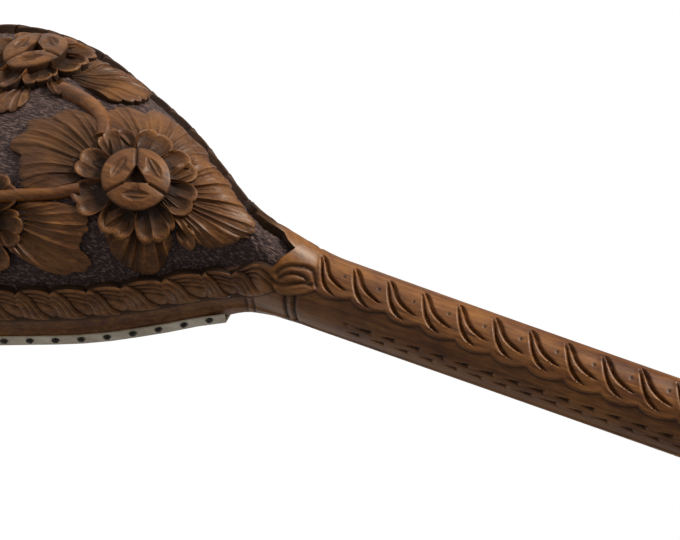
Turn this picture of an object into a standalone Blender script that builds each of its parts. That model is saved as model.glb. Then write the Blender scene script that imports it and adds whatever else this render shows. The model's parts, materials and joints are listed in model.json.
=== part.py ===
"""A gusle: a folk fiddle carved from one block of maple, with a skin belly and one horsehair string.

Metres. +Z runs up the neck to the head, the string and the skin face -Y, and the carved back +Y.
The origin is on the flat front of the neck, under the peg box, where a stand or a hanger takes it.
Places along the neck are written as s, counted from where the bowl meets the neck: below it is minus.
Depths are written from the rim plane, which the skin lies on: plus goes into the wood.
"""

import math

import bmesh
import bpy
import numpy as np
from mathutils import Matrix, Vector
from mathutils.bvhtree import BVHTree

# Driving sizes of the carved body
NECK_REST = 0.285  # from the bowl's end up to the origin
WIDEST_AT = -0.175
END_LENGTH = 0.095  # from the widest place to the bottom end
BOWL_HALF_WIDTH = 0.100
BOWL_DEPTH_AT_WIDEST = 0.068
BOWL_DEPTH = 0.083
RIM_WALL = 0.008  # height of the straight wall that the skin is nailed to
BOWL_WALL = 0.009
ROUNDNESS = 2.4  # exponent of the bowl's sections, where 2 is an ellipse
NECK_RADIUS = 0.0196
NECK_TOP_RADIUS = 0.0172
NECK_FLAT = 0.010  # half width of the flat front
NECK_SETBACK = 0.0025  # from the rim plane back to the neck's flat front
HOLLOW_TOP = -0.028
HOLLOW_TOP_ROUND = 0.034

# Floral relief on the back, cut within the thickness of the wall
PANEL_EDGE = 0.040  # from the rim plane to the edge of the sunk ground
PANEL_TIP = 0.0175  # where the sunk ground ends on the neck
PANEL_DEEP = 0.0055
RELIEF_ROOT = 0.0066  # how far the sides of the relief go down, into the wood under the ground
PETALS = 8
PETAL_RADIUS = 0.0315
PETAL_NOTCH = 0.0240
PETAL_TOP = 0.0009  # of the petals' rims, below the uncarved back
PETAL_FOOT = 0.0038  # of the petals where the heart rises from them
HEART_RADIUS = 0.0172
STEM_TOP = 0.0012
STEM_HALF_WIDTH = 0.0032
ROPE_FOOT = 0.0185  # from the rim plane to the lower edge of the carved rope on the bowl
ROPE_LEAN = 0.022  # how far up the neck a strand runs on its way across the rope
NECK_ROPE_FOOT = 0.0352
NECK_ROPE_RIM = 0.009  # the smooth foot below the strands
NECK_ROPE_TOP = 0.0105  # past the middle of the neck's back
NECK_ROPE_LEAN = 0.029
GROOVE_HALF_WIDTH = 0.0034
GROOVE_DEEP = 0.0024
GROOVE_RUN_OUT = 0.0006  # how far the cutter's ends and shoulders stand off the wood

# Peg box and head
PEG_BOX_START = 0.296
PEG_BOX_LENGTH = 0.094
PEG_BOX_HALF_WIDTH = 0.0210
PEG_BOX_FORWARD = 0.009  # how far its front stands before the rim plane
PEG_BOX_BACK = 0.034
SLOT_WIDTH = 0.0144
SLOT_LENGTH = 0.056
GROOVE_CLEAR = 0.0010  # round the string, where it passes the peg box's lip
HEAD_HALF_WIDTH = 0.0130
HEAD_DEPTH = 0.0190
HEAD_REACH = 0.058  # how far the muzzle stands before the rim plane
EAR_LENGTH = 0.017
EAR_RADIUS = 0.0048

# Skin, nails and tail
GAP = 0.0003
SKIN = 0.0008
SKIRT = 0.0062  # how far the skin is folded down the rim
SKIN_TOP = -0.012
NAILS_A_SIDE = 25
NAIL_HEAD = 0.0022
NAIL_DOME = 0.0012
NAIL_SHANK = 0.0007
NAIL_LENGTH = 0.0062
NAIL_LINE = 0.0033  # from the rim plane
NAIL_FROM_TAIL = 0.0115  # half the stretch that the tail loop needs
NAIL_FROM_TOP = 0.008
SOUND_HOLE = 0.0017
SOUND_HOLE_RING = 0.011
SOUND_HOLES = 6
SOUND_HOLES_AT = -0.088
BUTTON_AT = 0.020  # from the rim plane
BUTTON_HEAD = 0.0062
BUTTON_NECK = 0.0030
BUTTON_NECK_LENGTH = 0.0042
BUTTON_HEAD_LENGTH = 0.0045
BUTTON_SHANK = 0.0036
BUTTON_SHANK_LENGTH = 0.0115
LOOP_RADIUS = 0.0012
LOOP_HALF_WIDTH = 0.0037
LOOP_REACH = 0.024  # from the bottom end up over the skin

# String, bridge and peg
STRING_RADIUS = 0.0012
BRIDGE_FROM_END = 0.105  # from the bowl's bottom end up to the bridge
BRIDGE_HEIGHT = 0.030
BRIDGE_HALF_SPAN = 0.026
BRIDGE_FOOT = 0.012
BRIDGE_TOP_HALF = 0.0075
BRIDGE_THICKNESS = 0.0055
BRIDGE_ARCH = 0.0135
NOTCH_DEPTH = 0.0018
PEG_UP_BOX = 0.047  # from the peg box's start up to the peg
PEG_DEPTH = 0.006  # of the peg's axis, from the rim plane
PEG_THICK_END = 0.0056
PEG_THIN_END = 0.0044
PEG_TIP_OUT = 0.0045
PEG_COLLAR = 0.0074
PEG_COLLAR_LENGTH = 0.0040
PEG_STEM = 0.0050
PEG_STEM_LENGTH = 0.0060
HANDLE_LENGTH = 0.028
HANDLE_HALF_WIDTH = 0.0125
HANDLE_THICKNESS = 0.0075
TURNS = 3.5
TURN_PITCH = 0.0030
TURN_POINTS = 24

RIM_Y = -NECK_SETBACK
SKIN_FRONT = -GAP - SKIN
BOTTOM = WIDEST_AT - END_LENGTH
BRIDGE_AT = BOTTOM + BRIDGE_FROM_END
PEG_AT = PEG_BOX_START + PEG_UP_BOX
HALF_POINTS = 20  # points of a half section, without the front flat

FINISHES = {
    "maple": ((0.235, 0.085, 0.026, 1), 0.35, 0.0),
    "skin": ((0.62, 0.52, 0.38, 1), 0.60, 0.0),
    "iron": ((0.035, 0.030, 0.027, 1), 0.45, 0.9),
    "hair": ((0.045, 0.038, 0.032, 1), 0.50, 0.0),
    "pale_wood": ((0.48, 0.27, 0.12, 1), 0.45, 0.0),
    "cord": ((0.30, 0.19, 0.10, 1), 0.80, 0.0),
}


def finish(name):
    """The material of that name, made the first time it is asked for."""
    if name in bpy.data.materials:
        return bpy.data.materials[name]
    colour, roughness, metallic = FINISHES[name]
    material = bpy.data.materials.new(name)
    material.use_nodes = True
    shader = material.node_tree.nodes["Principled BSDF"]
    shader.inputs["Base Color"].default_value = colour
    shader.inputs["Roughness"].default_value = roughness
    shader.inputs["Metallic"].default_value = metallic
    material.diffuse_color = colour
    return material


def place(s, depth, x=0.0):
    """A point given along the neck, by depth from the rim plane, and across."""
    return Vector((x, RIM_Y + depth, s - NECK_REST))


def smooth_through(points, s):
    """The height at s of a smooth curve through the points that never overshoots them."""
    xs, ys = zip(*points)
    s = min(max(s, xs[0]), xs[-1])
    steps = [b - a for a, b in zip(xs, xs[1:])]
    slopes = [(b - a) / h for a, b, h in zip(ys, ys[1:], steps)]
    tangents = [slopes[0]]
    for before, after in zip(slopes, slopes[1:]):
        same_way = before * after > 0
        tangents.append(2 * before * after / (before + after) if same_way else 0.0)
    tangents.append(slopes[-1])
    k = max(i for i in range(len(steps)) if xs[i] <= s)
    u = (s - xs[k]) / steps[k]
    return (
        ys[k] * (1 + 2 * u) * (1 - u) ** 2
        + tangents[k] * steps[k] * u * (1 - u) ** 2
        + ys[k + 1] * u * u * (3 - 2 * u)
        + tangents[k + 1] * steps[k] * u * u * (u - 1)
    )


def ease(start, end, s):
    """0 before start, 1 after end, and smooth between."""
    u = min(max((s - start) / (end - start), 0.0), 1.0)
    return u * u * (3 - 2 * u)


def round_end(s, power, inset=0.0):
    """How much of its full width or depth the bowl still has at s, near its bottom end."""
    q = min(max((WIDEST_AT - s) / (END_LENGTH - inset), 0.0), 0.9995)
    return (1 - q**power) ** (1 / power)


PEG_BOX_END = PEG_BOX_START + PEG_BOX_LENGTH
SLOT_AT = PEG_BOX_START + PEG_BOX_LENGTH / 2
HALF_WIDTHS = (
    (BOTTOM, BOWL_HALF_WIDTH),
    (WIDEST_AT, BOWL_HALF_WIDTH),
    (-0.145, BOWL_HALF_WIDTH * 0.950),
    (-0.105, BOWL_HALF_WIDTH * 0.788),
    (-0.070, BOWL_HALF_WIDTH * 0.626),
    (-0.040, BOWL_HALF_WIDTH * 0.436),
    (-0.015, BOWL_HALF_WIDTH * 0.262),
    (0.0, NECK_RADIUS),
    (PEG_BOX_START - 0.006, NECK_TOP_RADIUS),
    (SLOT_AT, PEG_BOX_HALF_WIDTH),
    (PEG_BOX_END, HEAD_HALF_WIDTH + 0.0025),
)
DEPTHS = (
    (BOTTOM, BOWL_DEPTH_AT_WIDEST * 0.8),
    (WIDEST_AT, BOWL_DEPTH_AT_WIDEST),
    (-0.145, BOWL_DEPTH * 0.922),
    (-0.105, BOWL_DEPTH),
    (-0.070, BOWL_DEPTH * 0.976),
    (-0.035, BOWL_DEPTH * 0.855),
    (0.0, BOWL_DEPTH * 0.678),
    (0.040, 2 * NECK_RADIUS),
    (PEG_BOX_START - 0.006, NECK_SETBACK + 2 * NECK_TOP_RADIUS),
    (SLOT_AT, PEG_BOX_BACK),
    (PEG_BOX_END, PEG_BOX_BACK - 0.002),
)
FRONTS = (
    (-0.010, 0.0),
    (0.030, NECK_SETBACK),
    (PEG_BOX_START - 0.004, NECK_SETBACK),
    (SLOT_AT - SLOT_LENGTH / 2, -PEG_BOX_FORWARD * 0.75),
    (SLOT_AT + SLOT_LENGTH / 4, -PEG_BOX_FORWARD),
    (PEG_BOX_END, -PEG_BOX_FORWARD * 0.6),
)


def rim_half_width(s, inset=0.0):
    return (smooth_through(HALF_WIDTHS, s) - inset) * round_end(s, 2.2, inset)


def half_section(s, inset=0.0):
    """(x, depth) from the front centre round to the back centre."""
    width = rim_half_width(s, inset)
    front = smooth_through(FRONTS, s)
    full = smooth_through(DEPTHS, s) - inset
    widest = RIM_WALL + ((front + full) / 2 - RIM_WALL) * ease(-0.045, 0.015, s)
    depth = widest + (full - widest) * round_end(s, 2.0, inset)
    power = ROUNDNESS + (2.0 - ROUNDNESS) * ease(-0.060, 0.010, s)
    corner = width + (NECK_FLAT - width) * ease(-0.030, 0.025, s)
    points = [(corner * part, front) for part in (0.0, 0.35, 0.7)]
    for i in range(4):
        turn = math.pi / 2 * i / 4
        points.append(
            (
                corner + (width - corner) * math.sin(turn),
                front + (widest - front) * (1 - math.cos(turn)),
            )
        )
    for i in range(HALF_POINTS - 4):
        turn = math.pi / 2 * i / (HALF_POINTS - 5)
        points.append(
            (
                width * max(math.cos(turn), 0.0) ** (2 / power),
                widest + (depth - widest) * math.sin(turn) ** (2 / power),
            )
        )
    points[-1] = (0.0, depth)
    return points


def back_depth(s):
    return half_section(s)[-1][1]


def both_sides(half, across, away, centre):
    """A closed ring of points from a half section that starts and ends on the middle plane."""
    ring = [centre + across * x + away * y for x, y in half]
    return ring + [centre - across * x + away * y for x, y in half[-2:0:-1]]


def ring_at(s, inset=0.0):
    return both_sides(half_section(s, inset), Vector((1, 0, 0)), Vector((0, 1, 0)), place(s, 0.0))


PANEL_LEVELS = (
    (BOTTOM, PANEL_EDGE),
    (-0.014, PANEL_EDGE),
    (0.0015, PANEL_EDGE + 0.004),
    (0.0135, PANEL_EDGE + 0.006),
    (PANEL_TIP, PANEL_EDGE + 0.0087),
)
FLOWERS = (
    # s, the share of the bowl's half width to the middle, and the degrees that the petals are turned by
    (-0.0615, -0.10, 97),
    (-0.1585, 0.54, 40),
    (-0.1360, -0.61, 15),
    (-0.2140, 0.00, 22),
)
LEAVES = {
    # s and the share of the half width to the point that the leaf spreads from; in millimetres, how
    # far from it the leaf starts and how far its top lies below the uncarved back; then its outline,
    # as degrees from up the neck and millimetres
    "to_neck": (-0.052, -0.085, 13, 1.1, ((-35, 30), (-20, 46), (0, 54), (22, 44), (42, 42), (66, 24))),
    "below_flower": (-0.050, -0.170, 13, 1.9, ((-145, 23), (-122, 30), (-94, 34), (-65, 35), (-42, 23))),
    "far_by_neck": (-0.060, 0.035, 12, 1.6, ((26, 26), (45, 37), (75, 39), (105, 39), (140, 34))),
    "middle": (-0.074, -0.110, 13, 1.3, ((118, 22), (132, 40), (151, 50), (170, 56), (190, 48), (226, 26))),
    "near_side": (-0.124, -0.530, 13, 1.5, ((-54, 17), (-36, 38), (-14, 54), (10, 50), (28, 23))),
    "far_side": (-0.130, 0.430, 3, 1.4, ((-25, 32), (0, 43), (26, 43), (50, 39), (62, 28), (84, 16))),
}
STEMS = {
    # places as s and the share of the half width, from one end of the stalk to the other
    "far": ((-0.128, 0.310), (-0.1185, 0.290), (-0.1055, 0.251), (-0.0980, 0.203), (-0.0890, 0.070)),
    "near": ((-0.128, -0.460), (-0.1041, -0.371), (-0.0850, -0.265)),
}
# s at the top edge of each carved rope, where one strand ends and the next begins
ROPE_NOTCHES = (-0.158, -0.139, -0.1205, -0.1025, -0.0865, -0.070, -0.055, -0.038)
NECK_NOTCHES = (0.053, 0.0745, 0.095, 0.1145, 0.1325, 0.1525, 0.171, 0.190, 0.209, 0.228)


HEAD_SPINE = (
    # (depth, s from the peg box's end, half width, half depth, crest)
    (0.0125, 0.0000, HEAD_HALF_WIDTH + 0.0025, HEAD_DEPTH - 0.0005, 1.00),
    (0.0155, 0.0180, HEAD_HALF_WIDTH + 0.0018, HEAD_DEPTH + 0.0015, 1.10),
    (0.0170, 0.0380, HEAD_HALF_WIDTH + 0.0008, HEAD_DEPTH + 0.0015, 1.16),
    (0.0125, 0.0580, HEAD_HALF_WIDTH, HEAD_DEPTH, 1.16),
    (0.0000, 0.0705, HEAD_HALF_WIDTH - 0.0002, HEAD_DEPTH - 0.0020, 1.08),
    (-0.26 * HEAD_REACH, 0.0690, HEAD_HALF_WIDTH, HEAD_DEPTH - 0.0025, 1.00),
    (-0.51 * HEAD_REACH, 0.0590, HEAD_HALF_WIDTH - 0.0018, HEAD_DEPTH - 0.0055, 1.00),
    (-0.74 * HEAD_REACH, 0.0470, HEAD_HALF_WIDTH - 0.0036, HEAD_DEPTH - 0.0083, 1.00),
    (-0.91 * HEAD_REACH, 0.0375, HEAD_HALF_WIDTH - 0.0040, HEAD_DEPTH - 0.0090, 1.00),
    (-HEAD_REACH, 0.0325, HEAD_HALF_WIDTH - 0.0070, HEAD_DEPTH - 0.0125, 1.00),
)


def head_values(k):
    """The head's spine, widths and crest at k, counted in spine points, by a curve through them."""
    last = len(HEAD_SPINE) - 1
    i = min(int(k), last - 1)
    u = k - i
    rows = [np.array(HEAD_SPINE[min(max(j, 0), last)]) for j in range(i - 1, i + 3)]
    before, start, end, after = rows
    bend = 2 * before - 5 * start + 4 * end - after
    twist = 3 * (start - end) + after - before
    return start + 0.5 * u * (end - before + u * (bend + u * twist))


def head_ring(k):
    depth, up, width, half_depth, crest = head_values(k)
    ahead = head_values(min(k + 0.05, len(HEAD_SPINE) - 1))
    behind = head_values(max(k - 0.05, 0))
    along = Vector((0, ahead[0] - behind[0], ahead[1] - behind[1])).normalized()
    away = Vector((0, along.z, -along.y))
    half = []
    for turn in (-90, -80, -70, -60, -45, -30, -15):
        half.append((width * math.cos(math.radians(turn)), half_depth * math.sin(math.radians(turn))))
    for i in range(HALF_POINTS - 4):
        turn = math.pi / 2 * i / (HALF_POINTS - 5)
        ridge = 1 + (crest - 1) * ease(math.radians(68), math.radians(84), turn)
        half.append((width * math.cos(turn), half_depth * math.sin(turn) * ridge))
    half[0] = (0.0, half[0][1])
    half[-1] = (0.0, half[-1][1])
    return both_sides(half, Vector((1, 0, 0)), away, place(PEG_BOX_END + up, depth))


def add_object(name, mesh, material, collection="gusle"):
    obj = bpy.data.objects.new(name, mesh)
    bpy.data.collections[collection].objects.link(obj)
    mesh.materials.append(finish(material))
    return obj


def loft(name, rings, material="maple", collection="gusle"):
    """A closed solid through rings of as many points each, flat at both ends."""
    bm = bmesh.new()
    loops = [[bm.verts.new(point) for point in ring] for ring in rings]
    count = len(rings[0])
    for lower, upper in zip(loops, loops[1:]):
        for i in range(count):
            j = (i + 1) % count
            bm.faces.new((lower[i], lower[j], upper[j], upper[i]))
    bm.faces.new(loops[0][::-1])
    bm.faces.new(loops[-1])
    bmesh.ops.recalc_face_normals(bm, faces=bm.faces)
    # Booleans cut flat faces cleanly, and four corners of a curved side seldom lie flat.
    bmesh.ops.triangulate(bm, faces=bm.faces)
    for face in bm.faces:
        face.smooth = True
    mesh = bpy.data.meshes.new(name)
    bm.to_mesh(mesh)
    bm.free()
    return add_object(name, mesh, material, collection)


def from_bmesh(name, bm, material, collection="gusle", smooth=True):
    for face in bm.faces:
        face.smooth = smooth
    mesh = bpy.data.meshes.new(name)
    bm.to_mesh(mesh)
    bm.free()
    obj = add_object(name, mesh, material, collection)
    mesh.set_sharp_from_angle(angle=math.radians(35))
    return obj


def as_cutter(obj):
    obj.hide_render = True
    obj.display_type = "WIRE"
    return obj


def boolean(obj, other, operation):
    modifier = obj.modifiers.new(f"{operation.lower()} {other.name}", "BOOLEAN")
    modifier.operation = operation
    modifier.object = other
    modifier.solver = "EXACT"


def frame_along(origin, direction, side=Vector((1, 0, 0))):
    """A matrix whose Z runs along direction and whose X stays near side."""
    up = direction.normalized()
    across = (side - up * side.dot(up)).normalized()
    away = up.cross(across)
    return Matrix.Translation(origin) @ Matrix((across, away, up)).transposed().to_4x4()


def cylinder_cutter(name, matrix, radius, start, end, sides=24, far_radius=None):
    bm = bmesh.new()
    bmesh.ops.create_cone(
        bm,
        cap_ends=True,
        segments=sides,
        radius1=radius,
        radius2=radius if far_radius is None else far_radius,
        depth=end - start,
    )
    bm.transform(matrix @ Matrix.Translation((0, 0, (start + end) / 2)))
    return as_cutter(from_bmesh(name, bm, "maple", "cutters"))


def turned(name, profile, matrix, material, sides=24):
    """A turned piece: the profile, as (radius, height), runs down its outer side from top to bottom."""
    bm = bmesh.new()
    verts = [bm.verts.new((radius, 0, height)) for radius, height in profile]
    for a, b in zip(verts, verts[1:]):
        bm.edges.new((a, b))
    obj = from_bmesh(name, bm, material)
    screw = obj.modifiers.new("turn", "SCREW")
    screw.steps = sides
    screw.render_steps = sides
    screw.use_merge_vertices = True
    screw.merge_threshold = 0.00001
    obj.matrix_world = matrix
    return obj


def tube(name, points, radius, material, roundness=2, cyclic=False):
    """A cord or string: a curve through the points, round all the way along."""
    curve = bpy.data.curves.new(name, "CURVE")
    curve.dimensions = "3D"
    curve.bevel_depth = radius
    curve.bevel_resolution = roundness
    curve.use_fill_caps = not cyclic
    spline = curve.splines.new("POLY")
    spline.points.add(len(points) - 1)
    for target, point in zip(spline.points, points):
        target.co = (*point, 1)
    spline.use_cyclic_u = cyclic
    curve.materials.append(finish(material))
    obj = bpy.data.objects.new(name, curve)
    bpy.data.collections["gusle"].objects.link(obj)
    return obj


def bowl_stations():
    """Places along the bowl, closer together towards its round bottom end."""
    angles = (87.5, 82, 75, 67, 58, 48, 37, 25, 12)
    end = [WIDEST_AT - END_LENGTH * math.sin(math.radians(a)) for a in angles]
    end[0] = BOTTOM
    side = np.linspace(WIDEST_AT, SKIN_TOP, 14)
    return end + [float(s) for s in side]


def rim_outline(offset):
    """The rim's corners up one side, from the middle of the bottom end to the skin's top, as (x, s)."""
    corners = [(0.0, BOTTOM)] + [(rim_half_width(s), s) for s in bowl_stations()]
    moved = []
    for i, (x, s) in enumerate(corners):
        before = corners[i - 1] if i else (-corners[1][0], corners[1][1])
        after = corners[min(i + 1, len(corners) - 1)]
        first = Vector((s - before[1], before[0] - x)).normalized()
        second = Vector((after[1] - s, x - after[0])).normalized() if after != (x, s) else first
        normal = (first + second).normalized()
        grown = offset / max(normal.dot(first), 0.5)
        moved.append((x + normal.x * grown if i else 0.0, s + normal.y * grown))
    moved[-1] = (moved[-1][0], corners[-1][1])
    return moved


def make_body():
    above = [0.002, 0.016, 0.032, 0.050, 0.110, 0.200, PEG_BOX_START - 0.006]
    box = [PEG_BOX_START + PEG_BOX_LENGTH * part for part in (0.06, 0.16, 0.28, 0.42, 0.56, 0.72, 0.88)]
    rings = [ring_at(s) for s in bowl_stations() + above + box]
    steps = (len(HEAD_SPINE) - 1) * 2
    rings += [head_ring(i / 2) for i in range(steps + 1)]
    body = loft("carved_body", rings)
    carve_relief(body)

    inner_length = END_LENGTH - BOWL_WALL
    hollow = [WIDEST_AT - inner_length * math.sin(math.radians(a)) for a in (86, 78, 68, 55, 40, 22)]
    hollow += [float(s) for s in np.linspace(WIDEST_AT, HOLLOW_TOP - HOLLOW_TOP_ROUND, 8)]
    top = [HOLLOW_TOP - HOLLOW_TOP_ROUND * (1 - math.sin(math.radians(a))) for a in (25, 45, 62, 76, 86)]
    rings = [hollow_ring(s) for s in hollow + top]
    boolean(body, as_cutter(loft("hollow", rings, collection="cutters")), "DIFFERENCE")

    bm = bmesh.new()
    bmesh.ops.create_cube(bm, size=1.0)
    reach = PEG_BOX_BACK + PEG_BOX_FORWARD + 0.02
    bmesh.ops.scale(bm, vec=(SLOT_WIDTH, reach, SLOT_LENGTH), verts=bm.verts)
    bmesh.ops.translate(bm, vec=place(SLOT_AT, (PEG_BOX_BACK - PEG_BOX_FORWARD) / 2), verts=bm.verts)
    slot = as_cutter(from_bmesh("slot", bm, "maple", "cutters"))
    bevel = slot.modifiers.new("round", "BEVEL")
    bevel.width = 0.003
    bevel.segments = 2
    boolean(body, slot, "DIFFERENCE")

    boolean(body, make_string_groove(), "DIFFERENCE")
    thick, thin = PEG_THICK_END + GAP, PEG_THIN_END + GAP
    reach = PEG_BOX_HALF_WIDTH
    beyond = 0.004
    slope = (thick - thin) / (2 * reach)
    hole = cylinder_cutter(
        "peg_hole",
        frame_along(place(PEG_AT, PEG_DEPTH), Vector((-1, 0, 0)), Vector((0, 0, 1))),
        thick + slope * beyond,
        -reach - beyond,
        reach + beyond,
        far_radius=thin - slope * beyond,
    )
    boolean(body, hole, "DIFFERENCE")

    button_hole = cylinder_cutter(
        "button_hole", button_frame(), BUTTON_SHANK + GAP, -BUTTON_SHANK_LENGTH - 0.004, 0.004
    )
    boolean(body, button_hole, "DIFFERENCE")
    boolean(body, nail_holes("nail_holes_in_wood", GAP), "DIFFERENCE")
    for side in (-1, 1):
        boolean(body, make_ear(side), "UNION")
    return body


def panel_half(s, level, count=14):
    """From the middle of the back out to the panel's edge at s, on the sunk ground, as (x, depth)."""
    width = rim_half_width(s, PANEL_DEEP)
    full = smooth_through(DEPTHS, s) - PANEL_DEEP
    widest = RIM_WALL + ((smooth_through(FRONTS, s) + full) / 2 - RIM_WALL) * ease(-0.045, 0.015, s)
    depth = widest + (full - widest) * round_end(s, 2.0, PANEL_DEEP)
    power = ROUNDNESS + (2.0 - ROUNDNESS) * ease(-0.060, 0.010, s)
    parts = [i / (count - 1) for i in range(count)]
    if depth < level + 0.001:
        # Here the edge meets itself, so the ground runs out in a flat.
        return [(0.006 * part, level) for part in parts]
    last = math.asin(((level - widest) / (depth - widest)) ** (power / 2))
    turns = [math.pi / 2 + (last - math.pi / 2) * part for part in parts]
    half = []
    for turn in turns:
        across = width * max(math.cos(turn), 0.0) ** (2 / power)
        half.append((across, widest + (depth - widest) * math.sin(turn) ** (2 / power)))
    return [(0.0, half[0][1])] + half[1:]


def make_panel():
    """What is cut away round the flowers and leaves, from the sunk ground out past the back."""
    rings = []
    for s in [s for s in bowl_stations() if back_depth(s) > PANEL_EDGE] + [0.002, PANEL_TIP]:
        level = smooth_through(PANEL_LEVELS, s)
        ground = panel_half(s, level)
        beyond = [(x * 1.1 + 0.004 * min(x / 0.004, 1.0), depth + 0.010) for x, depth in ground[::-1]]
        half = ground + [(ground[-1][0] + 0.012, level)] + beyond
        rings.append(both_sides(half, Vector((1, 0, 0)), Vector((0, 1, 0)), place(s, 0.0)))
    return as_cutter(loft("panel", rings, collection="cutters"))


class Back:
    """The uncarved back, to lay the relief on."""

    def __init__(self, mesh):
        points = [v.co for v in mesh.vertices]
        self.tree = BVHTree.FromPolygons(points, [face.vertices[:] for face in mesh.polygons])

    def under(self, start, direction):
        hit, normal, *_ = self.tree.ray_cast(start, direction)
        return hit, normal

    def behind(self, s, x):
        """The place on the back at s and x, and the way out of the wood there."""
        return self.under(place(s, 2 * BOWL_DEPTH, x), Vector((0, -1, 0)))

    def beside(self, s, depth, side):
        """The place on the body's side at that depth, and the way out of the wood there."""
        return self.under(place(s, depth, side * 2 * BOWL_HALF_WIDTH), Vector((-side, 0, 0)))

    def frame(self, s, x):
        """The place at s and x, and its ways up the neck, to the side and outwards."""
        origin, out = self.behind(s, x)
        up = (Vector((0, 0, 1)) - out * out.z).normalized()
        return origin, up, out.cross(up), out

    def lay(self, frame, outline, height):
        """Points at a height over the back, for (degrees, distance) round the frame's place."""
        origin, up, side, out = frame
        points = []
        for degrees, far in outline:
            turn = math.radians(degrees)
            start = origin + (up * math.cos(turn) + side * math.sin(turn)) * far + out * BOWL_DEPTH
            hit, normal = self.under(start, -out)
            points.append(hit + normal * height)
        return points


def make_flower(name, back, s, share, turn):
    """Petals that rise outwards to their rims, round a raised heart."""
    frame = back.frame(s, share * BOWL_HALF_WIDTH)
    step = 180 / PETALS
    star = [(turn + step * i, PETAL_NOTCH if i % 2 else PETAL_RADIUS) for i in range(2 * PETALS)]
    rings = []
    for outline, height in (
        ([(a, r * 0.5) for a, r in star], -RELIEF_ROOT),
        (star, -RELIEF_ROOT),
        (star, -PETAL_TOP),
        ([(a, HEART_RADIUS + 0.0006) for a, _ in star], -PETAL_FOOT),
        ([(a, HEART_RADIUS) for a, _ in star], 0.0),
        ([(a, HEART_RADIUS * 0.4) for a, _ in star], 0.0003),
    ):
        rings.append(back.lay(frame, outline, height))
    return as_cutter(loft(name, rings, collection="cutters"))


def make_leaf(name, back, s, share, start, top, outline):
    frame = back.frame(s, share * BOWL_HALF_WIDTH)
    edge = [(a, r / 1000) for a, r in outline]
    edge += [(a, start / 1000) for a, _ in (edge[-1], edge[0])]
    flat = [(r * math.cos(math.radians(a)), r * math.sin(math.radians(a))) for a, r in edge]
    middle = [sum(values) / len(flat) for values in zip(*flat)]
    inner = []
    for up, side in flat:
        up, side = (up + middle[0]) / 2, (side + middle[1]) / 2
        inner.append((math.degrees(math.atan2(side, up)), math.hypot(up, side)))
    rings = []
    for line, depth in ((inner, RELIEF_ROOT), (edge, RELIEF_ROOT), (edge, top / 1000), (inner, top / 1000)):
        rings.append(back.lay(frame, line, -depth))
    return as_cutter(loft(name, rings, collection="cutters"))


def make_stem(name, back, path):
    """A rounded stalk along the path, standing as high as the leaves."""
    found = [back.behind(s, share * BOWL_HALF_WIDTH) for s, share in path]
    rings = []
    for i, (hit, out) in enumerate(found):
        along = found[min(i + 1, len(found) - 1)][0] - found[max(i - 1, 0)][0]
        side = out.cross(along).normalized() * STEM_HALF_WIDTH
        shoulder, foot = hit - out * (STEM_TOP + 0.0014), hit - out * RELIEF_ROOT
        rings.append([foot + side, shoulder + side, hit - out * STEM_TOP, shoulder - side, foot - side])
    return as_cutter(loft(name, rings, collection="cutters"))


def groove(bm, places):
    """A V-shaped cut through the places, given with the ways out of the wood, that ends in points."""
    first, last = (bm.verts.new(spot + out * GROOVE_RUN_OUT) for spot, out in (places[0], places[-1]))
    loops = []
    for i, (spot, out) in enumerate(places[1:-1], start=1):
        side = out.cross(places[i + 1][0] - places[i - 1][0]).normalized() * GROOVE_HALF_WIDTH
        brink = spot + out * GROOVE_RUN_OUT
        loops.append([bm.verts.new(at) for at in (brink + side, brink - side, spot - out * GROOVE_DEEP)])
    for i, j in ((0, 1), (1, 2), (2, 0)):
        bm.faces.new((first, loops[0][i], loops[0][j]))
        bm.faces.new((last, loops[-1][j], loops[-1][i]))
        for lower, upper in zip(loops, loops[1:]):
            bm.faces.new((lower[i], upper[i], upper[j], lower[j]))


def make_rope_grooves(back):
    """The grooves between the strands of the carved rope, along both sides of the bowl and the neck."""
    bm = bmesh.new()
    width = ROPE_FOOT - PANEL_EDGE
    for side in (-1, 1):
        for s in ROPE_NOTCHES:
            steps = [(s + ROPE_LEAN * part, PANEL_EDGE + width * part) for part in (0.05, 0.5, 0.95)]
            groove(bm, [back.beside(at, depth, side) for at, depth in steps])
    for s in NECK_NOTCHES:
        middle = [
            back.behind(s + NECK_ROPE_LEAN * part, -NECK_RADIUS * across)
            for part, across in ((0.32, 0.24), (0.66, 0.70))
        ]
        end = back.beside(s + NECK_ROPE_LEAN, NECK_ROPE_FOOT - NECK_ROPE_RIM, -1)
        groove(bm, [back.behind(s, NECK_ROPE_TOP * 0.4), *middle, end])
    bmesh.ops.recalc_face_normals(bm, faces=bm.faces)
    bmesh.ops.triangulate(bm, faces=bm.faces)
    return as_cutter(from_bmesh("rope_grooves", bm, "maple", "cutters"))


def carve_relief(body):
    """The flowers, leaves and stalks that stand in the sunk ground of the back."""
    back = Back(body.data)
    boolean(body, make_panel(), "DIFFERENCE")
    for i, flower in enumerate(FLOWERS):
        boolean(body, make_flower(f"flower_{i + 1}", back, *flower), "UNION")
    for name, leaf in LEAVES.items():
        boolean(body, make_leaf(f"leaf_{name}", back, *leaf), "UNION")
    for name, path in STEMS.items():
        boolean(body, make_stem(f"stem_{name}", back, path), "UNION")
    boolean(body, make_rope_grooves(back), "DIFFERENCE")


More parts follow.
